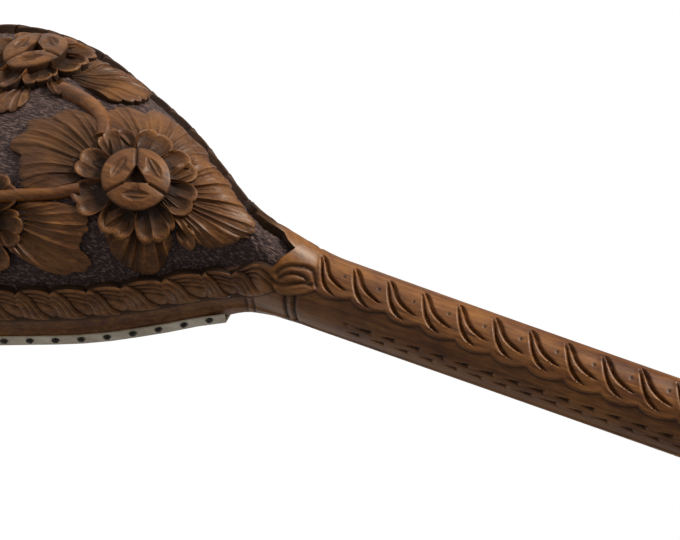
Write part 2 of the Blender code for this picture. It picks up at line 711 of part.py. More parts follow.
def make_string_groove():
    """A narrow way for the string through the lip below the slot."""
    start = PEG_BOX_START - 0.012
    end = SLOT_AT - SLOT_LENGTH / 2 + 0.004
    bottom = PEG_DEPTH - winding_radius() + STRING_RADIUS + GROOVE_CLEAR
    front = -PEG_BOX_FORWARD - 0.01
    bm = bmesh.new()
    bmesh.ops.create_cube(bm, size=1.0)
    size = (2 * (STRING_RADIUS + GROOVE_CLEAR), bottom - front, end - start)
    bmesh.ops.scale(bm, vec=size, verts=bm.verts)
    bmesh.ops.translate(
        bm, vec=place((start + end) / 2, (bottom + front) / 2, winding_start().x), verts=bm.verts
    )
    return as_cutter(from_bmesh("string_groove", bm, "maple", "cutters"))


def hollow_ring(s):
    """A ring of the hollow: the outer section drawn in by the wall, and open at the front."""
    closing = max(s - (HOLLOW_TOP - HOLLOW_TOP_ROUND), 0.0) / HOLLOW_TOP_ROUND
    shrink = (1 - min(closing, 0.999) ** 2.4) ** (1 / 2.4)
    width = max(rim_half_width(s, BOWL_WALL) * shrink, 0.002)
    full = smooth_through(DEPTHS, s) - BOWL_WALL
    depth = RIM_WALL + (full - RIM_WALL) * round_end(s, 2.0, BOWL_WALL) * shrink
    half = [(0.0, -0.004), (width * 0.5, -0.004), (width, -0.004), (width, RIM_WALL * 0.5)]
    for i in range(12):
        turn = math.pi / 2 * i / 11
        half.append(
            (
                width * max(math.cos(turn), 0.0) ** (2 / ROUNDNESS),
                RIM_WALL + (depth - RIM_WALL) * math.sin(turn) ** (2 / ROUNDNESS),
            )
        )
    half[-1] = (0.0, half[-1][1])
    return both_sides(half, Vector((1, 0, 0)), Vector((0, 1, 0)), place(s, 0.0))


def make_ear(side):
    """A pricked ear, rooted in the poll."""
    depth, up, *_ = head_values(3.9)
    foot = place(PEG_BOX_END + up + HEAD_DEPTH * 0.55, depth + 0.002, side * HEAD_HALF_WIDTH * 0.5)
    lean = Vector((side * 0.22, 0.10, 1.0))
    bm = bmesh.new()
    bmesh.ops.create_cone(
        bm, cap_ends=True, segments=12, radius1=EAR_RADIUS, radius2=EAR_RADIUS * 0.22, depth=EAR_LENGTH
    )
    bm.transform(frame_along(foot, lean) @ Matrix.Translation((0, 0, EAR_LENGTH / 2)))
    return as_cutter(from_bmesh(f"ear_{'right' if side > 0 else 'left'}", bm, "maple", "cutters"))


def make_skin():
    """The skin lies on the rim, is folded down its side and is open at the neck."""
    half = rim_outline(GAP)
    ring = [(x, s) for x, s in half[::-1]] + [(-x, s) for x, s in half[1:]]
    bm = bmesh.new()
    front = [bm.verts.new(place(s, -GAP, x)) for x, s in ring]
    hem = [bm.verts.new(place(s, SKIRT, x)) for x, s in ring]
    bm.faces.new(front)
    for i in range(len(ring) - 1):
        bm.faces.new((front[i], front[i + 1], hem[i + 1], hem[i]))
    bmesh.ops.recalc_face_normals(bm, faces=bm.faces)
    outward = next(face for face in bm.faces if len(face.verts) > 4)
    if outward.normal.y > 0:
        bmesh.ops.reverse_faces(bm, faces=bm.faces)
    skin = from_bmesh("skin_belly", bm, "skin")
    solid = skin.modifiers.new("thickness", "SOLIDIFY")
    solid.thickness = SKIN
    solid.offset = 1.0
    solid.use_even_offset = True
    boolean(skin, nail_holes("nail_holes_in_skin", GAP), "DIFFERENCE")

    bm = bmesh.new()
    turned_to_front = Matrix.Rotation(math.pi / 2, 4, "X")
    for i in range(SOUND_HOLES):
        turn = 2 * math.pi * i / SOUND_HOLES
        spot = place(
            SOUND_HOLES_AT + SOUND_HOLE_RING * math.cos(turn), 0.0, SOUND_HOLE_RING * math.sin(turn)
        )
        bmesh.ops.create_cone(
            bm,
            cap_ends=True,
            segments=12,
            radius1=SOUND_HOLE,
            radius2=SOUND_HOLE,
            depth=0.006,
            matrix=Matrix.Translation(spot) @ turned_to_front,
        )
    boolean(skin, as_cutter(from_bmesh("sound_holes", bm, "maple", "cutters")), "DIFFERENCE")
    return skin


def nail_frames():
    """Where each nail sits: on the folded skin, square to the rim, evenly spaced along it."""
    outline = [Vector((x, s)) for x, s in rim_outline(GAP + SKIN)]
    lengths = [0.0]
    for a, b in zip(outline, outline[1:]):
        lengths.append(lengths[-1] + (b - a).length)
    pitch = (lengths[-1] - NAIL_FROM_TOP - NAIL_FROM_TAIL) / (NAILS_A_SIDE - 1)
    frames = []
    for i in range(NAILS_A_SIDE):
        along = NAIL_FROM_TAIL + pitch * i
        k = max(j for j in range(len(outline) - 1) if lengths[j] <= along)
        a, b = outline[k], outline[k + 1]
        spot = a.lerp(b, (along - lengths[k]) / (b - a).length)
        outwards = Vector(((b - a).y, -(b - a).x)).normalized()
        for side in (1, -1):
            direction = Vector((side * outwards.x, 0, outwards.y))
            frames.append(frame_along(place(spot.y, NAIL_LINE, side * spot.x), direction, Vector((0, 1, 0))))
    return frames


def nail_holes(name, clearance):
    bm = bmesh.new()
    depth = NAIL_LENGTH + clearance + 0.002
    for matrix in nail_frames():
        bmesh.ops.create_cone(
            bm,
            cap_ends=True,
            segments=6,
            radius1=NAIL_SHANK + clearance,
            radius2=NAIL_SHANK + clearance,
            depth=depth,
            matrix=matrix @ Matrix.Translation((0, 0, 0.002 - depth / 2)),
        )
    return as_cutter(from_bmesh(name, bm, "maple", "cutters"))


def make_nails():
    """Domed iron nails: the head lies on the skin and the shank is driven through it into the rim."""
    profile = [(0.0, GAP + NAIL_DOME)]
    dome = math.radians(50)
    profile.append((NAIL_HEAD * math.sin(dome), GAP + NAIL_DOME * math.cos(dome)))
    profile += [(NAIL_HEAD, GAP), (NAIL_SHANK, GAP), (NAIL_SHANK * 0.6, -NAIL_LENGTH), (0.0, -NAIL_LENGTH)]
    first = None
    for i, matrix in enumerate(nail_frames()):
        name = f"rim_nail_{i + 1:02d}"
        if first is None:
            first = turned(name, profile, matrix, "iron", sides=8)
            continue
        nail = first.copy()
        nail.name = name
        nail.matrix_world = matrix
        bpy.data.collections["gusle"].objects.link(nail)


def button_frame():
    """On the bowl's bottom end, under the skin's fold, square to the wood."""
    low, high = BOTTOM, WIDEST_AT
    for _ in range(40):
        s = (low + high) / 2
        if back_depth(s) < BUTTON_AT:
            low = s
        else:
            high = s
    step = 0.0005
    normal = Vector((0, 2 * step, back_depth(s - step) - back_depth(s + step))).normalized()
    return frame_along(place(s, BUTTON_AT), normal)


def make_tail_button():
    neck_end = GAP + BUTTON_NECK_LENGTH
    top = neck_end + BUTTON_HEAD_LENGTH
    profile = [
        (0.0, top),
        (BUTTON_HEAD * 0.55, top - 0.0003),
        (BUTTON_HEAD * 0.9, top - 0.0014),
        (BUTTON_HEAD, top - 0.0026),
        (BUTTON_HEAD * 0.9, neck_end + 0.0006),
        (BUTTON_NECK, neck_end),
        (BUTTON_NECK, GAP + 0.0009),
        (BUTTON_HEAD * 0.8, GAP + 0.0007),
        (BUTTON_HEAD * 0.8, GAP),
        (BUTTON_SHANK, GAP),
        (BUTTON_SHANK * 0.92, -BUTTON_SHANK_LENGTH),
        (0.0, -BUTTON_SHANK_LENGTH),
    ]
    # The wood curves away from the button's collar, so the collar stands clear of it.
    lifted = button_frame() @ Matrix.Translation((0, 0, 0.0004))
    return turned("tail_button", profile, lifted, "pale_wood")


def curve_points(route, count):
    """As many points on a smooth curve through the route's own points."""
    points = []
    for i in range(count):
        k = (len(route) - 1) * i / (count - 1)
        j = min(int(k), len(route) - 2)
        u = k - j
        p0, p1 = route[max(j - 1, 0)], route[j]
        p2, p3 = route[j + 1], route[min(j + 2, len(route) - 1)]
        points.append(
            p1 + (p2 - p0 + (p0 * 2 - p1 * 5 + p2 * 4 - p3 + (p1 * 3 - p2 * 3 + p3 - p0) * u) * u) * u * 0.5
        )
    return points


LOOP_CLEAR = GAP + LOOP_RADIUS
LOOP_FRONT = SKIN_FRONT - LOOP_CLEAR
LOOP_END_S = BOTTOM - GAP - SKIN - LOOP_CLEAR


def loop_route():
    """One side of the tail loop: from under the button, up over the skin's edge, to the string."""
    frame = button_frame()
    middle = GAP + 0.0004 + 0.0009 + (BUTTON_NECK_LENGTH - 0.0009) / 2
    radius = BUTTON_NECK + LOOP_CLEAR
    route = []
    for turn in (90, 60, 30, 0):
        angle = math.radians(turn)
        route.append(frame @ Vector((radius * math.cos(angle), -radius * math.sin(angle), middle)))
    wide = LOOP_HALF_WIDTH
    route.append(place(LOOP_END_S - 0.0016, RIM_WALL + 0.0020, wide + 0.0004))
    route.append(place(LOOP_END_S - 0.0003, SKIRT * 0.45, wide))
    route.append(place(LOOP_END_S + 0.0003, LOOP_FRONT + 0.0020, wide))
    route.append(place(LOOP_END_S + 0.0022, LOOP_FRONT - 0.0002, wide))
    route.append(place(BOTTOM + LOOP_REACH * 0.45, LOOP_FRONT - 0.0006, wide))
    route.append(place(BOTTOM + LOOP_REACH * 0.82, LOOP_FRONT - 0.0012, wide * 0.86))
    route.append(place(BOTTOM + LOOP_REACH * 0.96, LOOP_FRONT - 0.0015, wide * 0.52))
    route.append(place(BOTTOM + LOOP_REACH, LOOP_FRONT - 0.0016, 0.0))
    return route


def make_tail_loop():
    one_side = curve_points(loop_route(), 28)
    other = [Vector((-p.x, p.y, p.z)) for p in one_side[-2:0:-1]]
    return tube("tail_loop", one_side + other, LOOP_RADIUS, "cord", cyclic=True)


def bridge_top():
    """Depth of the string's lowest side where it crosses the bridge."""
    return SKIN_FRONT - GAP - BRIDGE_HEIGHT


def make_bridge():
    """A two-footed bridge, cut from a flat board, with a notch for the string."""
    foot_out, foot_in = BRIDGE_HALF_SPAN, BRIDGE_HALF_SPAN - BRIDGE_FOOT
    half = [(foot_in, 0.0), (foot_out, 0.0), (foot_out, 0.0035), (foot_out - 0.004, 0.0075)]
    half += [(foot_out - 0.011, BRIDGE_HEIGHT * 0.52), (BRIDGE_TOP_HALF + 0.0015, BRIDGE_HEIGHT * 0.76)]
    half += [(BRIDGE_TOP_HALF, BRIDGE_HEIGHT), (STRING_RADIUS + 0.0009, BRIDGE_HEIGHT + 0.0003)]
    half += [(STRING_RADIUS + GAP, BRIDGE_HEIGHT - NOTCH_DEPTH * 0.4), (0.0, BRIDGE_HEIGHT - NOTCH_DEPTH)]
    arch = []
    for i in range(9):
        turn = math.radians(90 - 90 * i / 8)
        arch.append((foot_in * math.cos(turn), BRIDGE_ARCH * math.sin(turn)))
    right = half + [(-x, y) for x, y in half[-2::-1]]
    under = [(-x, y) for x, y in arch[::-1]][1:] + arch[1:-1]
    outline = right + under
    curve = bpy.data.curves.new("bridge", "CURVE")
    curve.dimensions = "2D"
    curve.fill_mode = "BOTH"
    curve.extrude = BRIDGE_THICKNESS / 2
    spline = curve.splines.new("POLY")
    spline.points.add(len(outline) - 1)
    for target, (x, y) in zip(spline.points, outline):
        target.co = (x, y, 0, 1)
    spline.use_cyclic_u = True
    curve.materials.append(finish("pale_wood"))
    bridge = bpy.data.objects.new("bridge", curve)
    bpy.data.collections["gusle"].objects.link(bridge)
    # Its height runs forward, from the skin to the string.
    turn_forward = Matrix(((1, 0, 0), (0, -1, 0), (0, 0, -1))).to_4x4()
    bridge.matrix_world = Matrix.Translation(place(BRIDGE_AT, SKIN_FRONT - GAP)) @ turn_forward
    return bridge


def winding_radius():
    return PEG_THICK_END + GAP + STRING_RADIUS


def winding_start():
    """Where the string meets the peg: on its front side, at the handle's end of the winding."""
    first = (TURNS * TURN_PITCH) / 2
    return place(PEG_AT, PEG_DEPTH - winding_radius(), first)


def make_string():
    """One bundle of horsehair, from the tail loop over the bridge to the peg."""
    loop_end = place(BOTTOM + LOOP_REACH + LOOP_CLEAR + STRING_RADIUS, LOOP_FRONT - 0.0016)
    over = bridge_top() + NOTCH_DEPTH - GAP - STRING_RADIUS
    half = BRIDGE_THICKNESS / 2
    top = winding_start() - Vector((0, 0, GAP))
    before = place(BRIDGE_AT - half, over - 0.0002)
    crown = place(BRIDGE_AT, over - 0.0008)
    after = place(BRIDGE_AT + half, over - 0.0008)
    below_peg = top - Vector((0, 0, 2.5 * STRING_RADIUS))
    route = [loop_end]
    route += [loop_end.lerp(before, part) for part in (0.1, 0.5, 0.9)]
    route += [before, crown, after]
    route += [after.lerp(below_peg, part) for part in (0.02, 0.25, 0.5, 0.75, 0.98)]
    route += [below_peg, top]
    return tube("string", route, STRING_RADIUS, "hair")


def winding_points():
    """The turns of the string round the peg, from its front side over the top."""
    centre = place(PEG_AT, PEG_DEPTH)
    radius = winding_radius()
    first = winding_start().x
    count = round(TURNS * TURN_POINTS)
    points = []
    for i in range(count + 1):
        turn = 2 * math.pi * i / TURN_POINTS
        across = first - TURN_PITCH * i / TURN_POINTS
        points.append(centre + Vector((across, -radius * math.cos(turn), radius * math.sin(turn))))
    return points


def make_winding():
    points = winding_points()
    least = min(
        (a - b).length - 2 * STRING_RADIUS
        for i, a in enumerate(points)
        for b in points[i + TURN_POINTS // 2 :]
    )
    print(f"string_winding: least gap to itself {least * 1000:.2f} mm")
    return tube("string_winding", points, STRING_RADIUS, "hair", roundness=1)


def make_peg():
    """A tapered peg across the peg box, with a collar and a flat leaf-shaped handle."""
    reach = PEG_BOX_HALF_WIDTH
    slope = (PEG_THICK_END - PEG_THIN_END) / (2 * reach)
    tip = reach + PEG_TIP_OUT
    collar = -reach - 0.0010
    stem = collar - PEG_COLLAR_LENGTH
    profile = [
        (0.0, tip),
        (PEG_THIN_END * 0.62, tip - 0.0002),
        (PEG_THIN_END - slope * PEG_TIP_OUT, tip - 0.0014),
        (PEG_THICK_END, -reach),
        (PEG_THICK_END, collar),
        (PEG_COLLAR * 0.93, collar),
        (PEG_COLLAR, collar - PEG_COLLAR_LENGTH * 0.5),
        (PEG_COLLAR * 0.93, stem),
        (PEG_STEM, stem - 0.0008),
        (PEG_STEM * 0.9, stem - PEG_STEM_LENGTH),
        (0.0, stem - PEG_STEM_LENGTH),
    ]
    matrix = frame_along(place(PEG_AT, PEG_DEPTH), Vector((-1, 0, 0)), Vector((0, 0, 1)))
    peg = turned("tuning_peg", profile, matrix, "maple")

    bm = bmesh.new()
    count = 28
    start = stem - PEG_STEM_LENGTH * 0.35
    outline = []
    for i in range(count):
        turn = 2 * math.pi * i / count
        along = start - HANDLE_LENGTH / 2 - HANDLE_LENGTH / 2 * math.cos(turn)
        wide = HANDLE_HALF_WIDTH * math.sin(turn) * (1 - 0.32 * math.cos(turn + math.pi))
        outline.append(bm.verts.new((wide, 0, along)))
    bm.faces.new(outline)
    handle = from_bmesh("peg_handle", bm, "maple", "cutters")
    thick = handle.modifiers.new("thickness", "SOLIDIFY")
    thick.thickness = HANDLE_THICKNESS
    thick.offset = 0.0
    edge = handle.modifiers.new("edge", "BEVEL")
    edge.width = HANDLE_THICKNESS * 0.3
    edge.segments = 2
    handle.matrix_world = matrix
    boolean(peg, as_cutter(handle), "UNION")
    return peg


def main():
    for obj in list(bpy.data.objects):
        bpy.data.objects.remove(obj)
    for name in ("gusle", "cutters"):
        bpy.context.scene.collection.children.link(bpy.data.collections.new(name))
    make_body()
    make_skin()
    make_nails()
    make_tail_button()
    make_tail_loop()
    make_bridge()
    make_string()
    make_winding()
    make_peg()
    bpy.context.view_layer.update()


main()
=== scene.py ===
import json
import math

import bmesh
import bpy
import numpy as np
from mathutils import Matrix, Vector, noise
from mathutils.bvhtree import BVHTree
from mathutils.interpolate import poly_3d_calc

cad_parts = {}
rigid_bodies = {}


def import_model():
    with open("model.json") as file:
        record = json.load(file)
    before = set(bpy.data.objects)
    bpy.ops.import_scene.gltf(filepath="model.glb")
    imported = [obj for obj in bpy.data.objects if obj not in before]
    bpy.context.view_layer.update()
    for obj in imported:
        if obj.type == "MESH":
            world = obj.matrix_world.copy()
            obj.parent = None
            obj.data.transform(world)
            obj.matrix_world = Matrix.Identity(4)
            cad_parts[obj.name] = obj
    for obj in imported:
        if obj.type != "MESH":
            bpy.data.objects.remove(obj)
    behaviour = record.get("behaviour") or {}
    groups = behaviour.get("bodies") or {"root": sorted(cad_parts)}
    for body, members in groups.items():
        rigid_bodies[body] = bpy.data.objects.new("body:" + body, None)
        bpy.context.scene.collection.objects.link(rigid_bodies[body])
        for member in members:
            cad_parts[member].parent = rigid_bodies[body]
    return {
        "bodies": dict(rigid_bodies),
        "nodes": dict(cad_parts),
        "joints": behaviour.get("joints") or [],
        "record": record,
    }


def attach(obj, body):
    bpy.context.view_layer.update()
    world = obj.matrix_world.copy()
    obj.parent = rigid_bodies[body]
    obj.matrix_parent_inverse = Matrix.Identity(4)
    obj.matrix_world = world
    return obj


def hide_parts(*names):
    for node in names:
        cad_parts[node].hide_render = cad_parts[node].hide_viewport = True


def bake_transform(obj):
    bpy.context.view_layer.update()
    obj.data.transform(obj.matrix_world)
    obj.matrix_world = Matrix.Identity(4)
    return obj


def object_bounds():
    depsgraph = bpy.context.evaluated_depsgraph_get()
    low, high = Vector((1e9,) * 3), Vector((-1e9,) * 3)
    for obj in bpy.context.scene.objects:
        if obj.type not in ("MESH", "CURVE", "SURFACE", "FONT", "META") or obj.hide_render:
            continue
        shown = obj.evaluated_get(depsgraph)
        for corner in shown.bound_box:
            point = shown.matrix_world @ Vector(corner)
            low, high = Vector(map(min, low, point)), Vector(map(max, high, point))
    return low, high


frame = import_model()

cad_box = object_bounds()

# Sizes of the carved body, in metres. s runs up the neck from where the bowl meets it,
# and depth runs from the rim plane into the wood.
NECK_REST = 0.285
WIDEST_AT = -0.175
END_LENGTH = 0.095
BOTTOM = WIDEST_AT - END_LENGTH
BOWL_HALF_WIDTH = 0.100
BOWL_DEPTH_AT_WIDEST = 0.068
BOWL_DEPTH = 0.083
RIM_WALL = 0.008
ROUNDNESS = 2.4
NECK_RADIUS = 0.0196
NECK_TOP_RADIUS = 0.0172
NECK_FLAT = 0.010
NECK_SETBACK = 0.0025
PEG_BOX_START = 0.296
PEG_BOX_END = 0.390
PEG_BOX_HALF_WIDTH = 0.0210
PEG_BOX_FORWARD = 0.009
PEG_BOX_BACK = 0.034
SLOT_AT = 0.343
SLOT_WIDTH = 0.0144
SLOT_LENGTH = 0.056
HEAD_HALF_WIDTH = 0.0130
HEAD_DEPTH = 0.0190
HEAD_REACH = 0.058
GAP = 0.0003
SKIN = 0.0008
STRING_RADIUS = 0.0012
BRIDGE_AT = -0.165
BRIDGE_HEIGHT = 0.030
BRIDGE_THICKNESS = 0.0055
PEG_AT = 0.343
PEG_DEPTH = 0.006
PEG_THICK_END = 0.0056
PEG_THIN_END = 0.0044

# Sizes of the carving
PANEL_EDGE = 0.040  # from the rim plane to the edge of the sunk panel
PANEL_TIP = 0.0175
PANEL_DEEP = 0.0055
PANEL_LEVELS = ((BOTTOM, PANEL_EDGE), (-0.014, PANEL_EDGE), (0.0015, 0.044), (0.0135, 0.046), (PANEL_TIP, 0.0487))
PLAIN_DEEP = 0.0009
BED_DEEP = 0.0035
WALL_DEEP = 0.0066
EDGE_DROP = 0.0004
EDGE_ROUND = 0.0012
ROPE_PITCH = 0.0190
ROPE_FOOT = ((BOTTOM, 0.0185), (-0.003, 0.0185), (0.006, 0.0240), (0.016, 0.0305), (0.030, 0.0335), (0.045, 0.0345),
             (0.062, 0.0343), (0.100, 0.0330), (0.140, 0.0318), (0.286, 0.0307))
NEAR_ROPE_TOP = ((-0.030, 0.0335), (-0.014, 0.0235), (0.0015, 0.0155), (0.008, 0.0132), (0.012, 0.0122), (0.0142, 0.0077),
                 (0.0175, 0.0010), (0.0195, -0.0050), (0.023, -0.0092), (0.030, -0.0112), (0.286, -0.0112))
FAR_ROPE_TOP = ((-0.030, 0.0335), (-0.014, 0.0175), (-0.008, 0.0122), (-0.003, 0.0102), (0.002, 0.0078), (0.0095, 0.0074),
                (0.0135, 0.0045), (0.021, 0.0015))
ROPE_NOTCHES = (-0.1025, -0.0865, -0.070, -0.055, -0.038, -0.021, -0.008, 0.010, 0.030, 0.050)
ROPE_SHIFT = 1.15
HEEL_LINES = (
    # the lines cut where the rope leaves the bowl: s, and the way across the back from its middle, in millimetres
    ((14.0, 15.5), (16.0, 11.5), (18.5, 8.1), (22.0, 5.7), (25.5, 4.4), (28.5, 4.3), (30.5, 6.2), (34.5, 10.7)),
    ((15.5, 17.0), (17.5, 13.5), (20.0, 11.2), (22.0, 10.3), (25.5, 9.5), (28.5, 10.1)),
    ((3.5, 17.2), (6.5, 16.9), (10.5, 17.6), (14.5, 19.4), (17.5, 18.6), (21.0, 16.5), (24.5, 13.8), (28.0, 11.9), (31.5, 11.2)),
    ((4.5, 20.6), (8.5, 20.8), (13.0, 21.8), (15.5, 24.2)),
)
NECK_CUSPS = tuple(0.016 + 0.0188 * i for i in range(15))
CUSP_ARC = 0.0118
CLAWS = (
    # the lip and the wall of the two claw-shaped gouges in each length of the neck's rope: millimetres
    # across the neck from the middle of its back, and along it from the cusp at the foot
    (((-6.0, -6.7), (-4.4, -5.6), (-0.2, -3.6), (3.4, -1.8), (6.8, 0.3), (9.6, 3.0), (11.2, 6.4), (12.0, 10.4)),
     ((-6.0, -6.4), (-5.2, -5.0), (-0.8, -1.9), (3.0, 0.2), (5.6, 2.4), (8.2, 5.2), (10.4, 8.4), (12.0, 11.4))),
    (((-9.0, -6.4), (-7.1, -5.0), (-1.3, -1.2), (2.0, 1.4), (4.6, 4.4), (6.2, 7.6), (7.3, 11.4), (7.8, 15.6)),
     ((-9.0, -6.0), (-8.2, -4.2), (-4.0, 0.3), (-0.2, 2.8), (3.0, 6.3), (4.7, 9.8), (6.2, 13.0), (7.8, 16.6))),
)
PUNCH_PITCH = 0.0130
PUNCH_LENGTH = 0.0082
INCISED_LINES = ((-0.0020, 0.0005), (0.0020, 0.0005), (0.0205, 0.0010), (0.0255, 0.0010))


class Wire:
    """A value in a material, so that sums and products of values read as arithmetic."""

    def __init__(self, tree, socket):
        self.tree = tree
        self.socket = socket

    def maths(self, operation, *values):
        node = self.tree.nodes.new("ShaderNodeMath")
        node.operation = operation
        for slot, value in zip(node.inputs, values):
            plug(self.tree, value, slot)
        return Wire(self.tree, node.outputs[0])

    def __add__(self, other):
        return self.maths("ADD", self, other)

    def __sub__(self, other):
        return self.maths("SUBTRACT", self, other)

    def __rsub__(self, other):
        return self.maths("SUBTRACT", other, self)

    def __mul__(self, other):
        return self.maths("MULTIPLY", self, other)

    __radd__ = __add__
    __rmul__ = __mul__


def plug(tree, value, slot):
    if isinstance(value, Wire):
        tree.links.new(value.socket, slot)
    else:
        slot.default_value = value


class Finish:
    """A material with its Principled shader, and one way to add any other node."""

    def __init__(self, name, colour=(0.5, 0.5, 0.5, 1), **sockets):
        self.material = bpy.data.materials.new(name)
        self.material.use_nodes = True
        self.tree = self.material.node_tree
        self.shader = self.tree.nodes["Principled BSDF"]
        self.shader.inputs["Base Color"].default_value = colour
        self.set(**sockets)
        self.place = self.add("ShaderNodeTexCoord")["Object"]

    def set(self, **sockets):
        for name, value in sockets.items():
            plug(self.tree, value, self.shader.inputs[name.replace("_", " ")])

    def add(self, kind, settings=None, **sockets):
        node = self.tree.nodes.new(kind)
        for name, value in (settings or {}).items():
            if name == "stops":
                ramp = node.color_ramp
                while len(ramp.elements) < len(value):
                    ramp.elements.new(0.5)
                for element, (at, colour) in zip(ramp.elements, value):
                    element.position = at
                    element.color = colour
            else:
                setattr(node, name, value)
        for name, value in sockets.items():
            key = int(name[1:]) if name[0] == "_" else name.replace("_", " ")
            plug(self.tree, value, node.inputs[key])
        return {out.name: Wire(self.tree, out) for out in node.outputs}

    def noise(self, scale, detail=3.0, roughness=0.5, stretch=(1, 1, 1), place=None):
        vector = self.add("ShaderNodeMapping", None, Vector=place or self.place, Scale=stretch)["Vector"]
        return self.add("ShaderNodeTexNoise", None, Vector=vector, Scale=scale, Detail=detail, Roughness=roughness)["Fac"]

    def ramp(self, value, *stops):
        return self.add("ShaderNodeValToRGB", {"stops": stops}, Fac=value)["Color"]

    def mix(self, factor, first, second, blend="MIX"):
        node = self.tree.nodes.new("ShaderNodeMix")
        node.data_type = "RGBA"
        node.blend_type = blend
        plug(self.tree, factor, node.inputs["Factor"])
        plug(self.tree, first, node.inputs[6])
        plug(self.tree, second, node.inputs[7])
        return Wire(self.tree, node.outputs[2])

    def stretch(self, value, low, high, to_low=0.0, to_high=1.0):
        return self.add("ShaderNodeMapRange", None, Value=value, _1=low, _2=high, _3=to_low, _4=to_high)["Result"]

    def attribute(self, name):
        return self.add("ShaderNodeAttribute", {"attribute_name": name})["Fac"]

    def bump(self, height, distance, strength=1.0):
        return self.add("ShaderNodeBump", None, Height=height, Distance=distance, Strength=strength)["Normal"]


def grey(value):
    return (value, value, value, 1)


def varnished_maple(name, lightness=1.0, carved=False):
    """Maple with a brown varnish: grain along the neck, and painted shade in the hollows of the carving."""
    finish = Finish(name, IOR=1.5)
    warp = finish.noise(9.0, 2.0, 0.5, (1, 1, 0.35))
    grain = finish.noise(420.0, 4.0, 0.65, (1, 1, 0.035))
    broad = finish.noise(55.0, 3.0, 0.55, (1, 1, 0.25))
    figure = finish.noise(70.0, 2.0, 0.5, (0.3, 0.3, 1.6))
    flecks = finish.noise(760.0, 3.0, 0.6, (1.0, 1.0, 0.16))
    patches = finish.noise(130.0, 3.0, 0.6, (1, 1, 0.45))
    tone = broad * 0.42 + grain * 0.48 + warp * 0.26 + figure * 0.14 + flecks * 0.34 + patches * 0.24 - 0.31
    if carved:
        spread = finish.add("ShaderNodeCombineXYZ", None, X=finish.attribute("rib"), Y=finish.attribute("reach"))
        streaks = finish.noise(820.0, 3.0, 0.6, (1, 0.10, 1), spread["Vector"])
        tone = tone + streaks * 0.30 - 0.15
    k = lightness
    colour = finish.ramp(
        tone,
        (0.36, (0.042 * k, 0.0115 * k, 0.0020 * k, 1)),
        (0.50, (0.100 * k, 0.0300 * k, 0.0052 * k, 1)),
        (0.62, (0.168 * k, 0.0580 * k, 0.0110 * k, 1)),
        (0.76, (0.270 * k, 0.1080 * k, 0.0260 * k, 1)),
    )
    gold = finish.stretch(finish.noise(38.0, 2.0, 0.5), 0.50, 0.68, 0.0, 0.75)
    plum = finish.stretch(finish.noise(47.0, 2.0, 0.5, (1.1, 0.9, 1)), 0.52, 0.66, 0.0, 0.65)
    colour = finish.mix(gold, colour, (1.16, 1.14, 0.72, 1), "MULTIPLY")
    colour = finish.mix(plum, colour, (0.62, 0.58, 0.80, 1), "MULTIPLY")
    pores = finish.noise(900.0, 2.0, 0.6, (1, 1, 0.06))
    pore_mask = finish.stretch(pores, 0.30, 0.42, 1.0, 0.0)
    colour = finish.mix(pore_mask * 0.45, colour, (0.020, 0.008, 0.004, 1))
    rough = finish.stretch(broad, 0.3, 0.7, 0.40, 0.56)
    height = grain * 0.35 + pores * 0.30 + flecks * 0.5
    coat = 0.20
    if carved:
        sunk, punched = finish.attribute("sunk"), finish.attribute("punched")
        strokes = finish.noise(1150.0, 3.0, 0.7, (1.0, 0.55, 0.20))
        pits = finish.stretch(strokes, 0.47, 0.66)
        ground = finish.mix(pits, (0.0400, 0.0225, 0.0220, 1), (0.250, 0.160, 0.140, 1))
        # painted shade: the mesh's shade attribute darkens the colour towards near black where the carving lies in
        # shade, and lowers the gloss there
        colour = finish.mix(sunk * 0.88, colour, (0.0130, 0.0060, 0.0034, 1))
        colour = finish.mix(punched, colour, ground)
        height = height + pits * punched * 2.6 + streaks * 1.5
        rough = rough + sunk * 0.30 + punched * 0.30
        coat = 0.20 - punched * 0.18 - sunk * 0.16
    finish.set(Base_Color=colour, Roughness=rough, Normal=finish.bump(height, 0.0006, 0.55))
    finish.set(Coat_Weight=coat, Coat_Roughness=0.30, Specular_IOR_Level=0.34)
    return finish.material


def dried_skin():
    finish = Finish("dried_skin", IOR=1.45)
    cloud = finish.noise(24.0, 4.0, 0.6)
    fibre = finish.noise(320.0, 4.0, 0.7, (1, 1, 0.3))
    colour = finish.ramp(
        cloud * 0.7 + fibre * 0.3,
        (0.34, (0.44, 0.345, 0.240, 1)),
        (0.52, (0.72, 0.630, 0.490, 1)),
        (0.70, (0.88, 0.810, 0.690, 1)),
    )
    finish.set(Base_Color=colour, Roughness=finish.stretch(fibre, 0.3, 0.7, 0.50, 0.68))
    finish.set(Normal=finish.bump(fibre + cloud, 0.0004, 0.5))
    return finish.material


def old_iron():
    finish = Finish("old_iron")
    rust = finish.noise(900.0, 3.0, 0.6)
    colour = finish.ramp(
        rust, (0.40, (0.030, 0.027, 0.025, 1)), (0.60, (0.055, 0.040, 0.030, 1)), (0.75, (0.110, 0.052, 0.026, 1))
    )
    finish.set(Base_Color=colour, Metallic=finish.stretch(rust, 0.45, 0.75, 0.9, 0.3))
    finish.set(Roughness=finish.stretch(rust, 0.4, 0.7, 0.38, 0.7), Normal=finish.bump(rust, 0.0002, 0.5))
    return finish.material


def horsehair():
    finish = Finish("horsehair", IOR=1.5)
    strand = finish.noise(2600.0, 2.0, 0.6, (1, 1, 0.012))
    colour = finish.ramp(strand, (0.35, (0.012, 0.009, 0.007, 1)), (0.60, (0.060, 0.046, 0.035, 1)), (0.75, (0.130, 0.105, 0.080, 1)))
    finish.set(Base_Color=colour, Roughness=finish.stretch(strand, 0.3, 0.7, 0.32, 0.55))
    finish.set(Normal=finish.bump(strand, 0.0003, 0.8))
    return finish.material


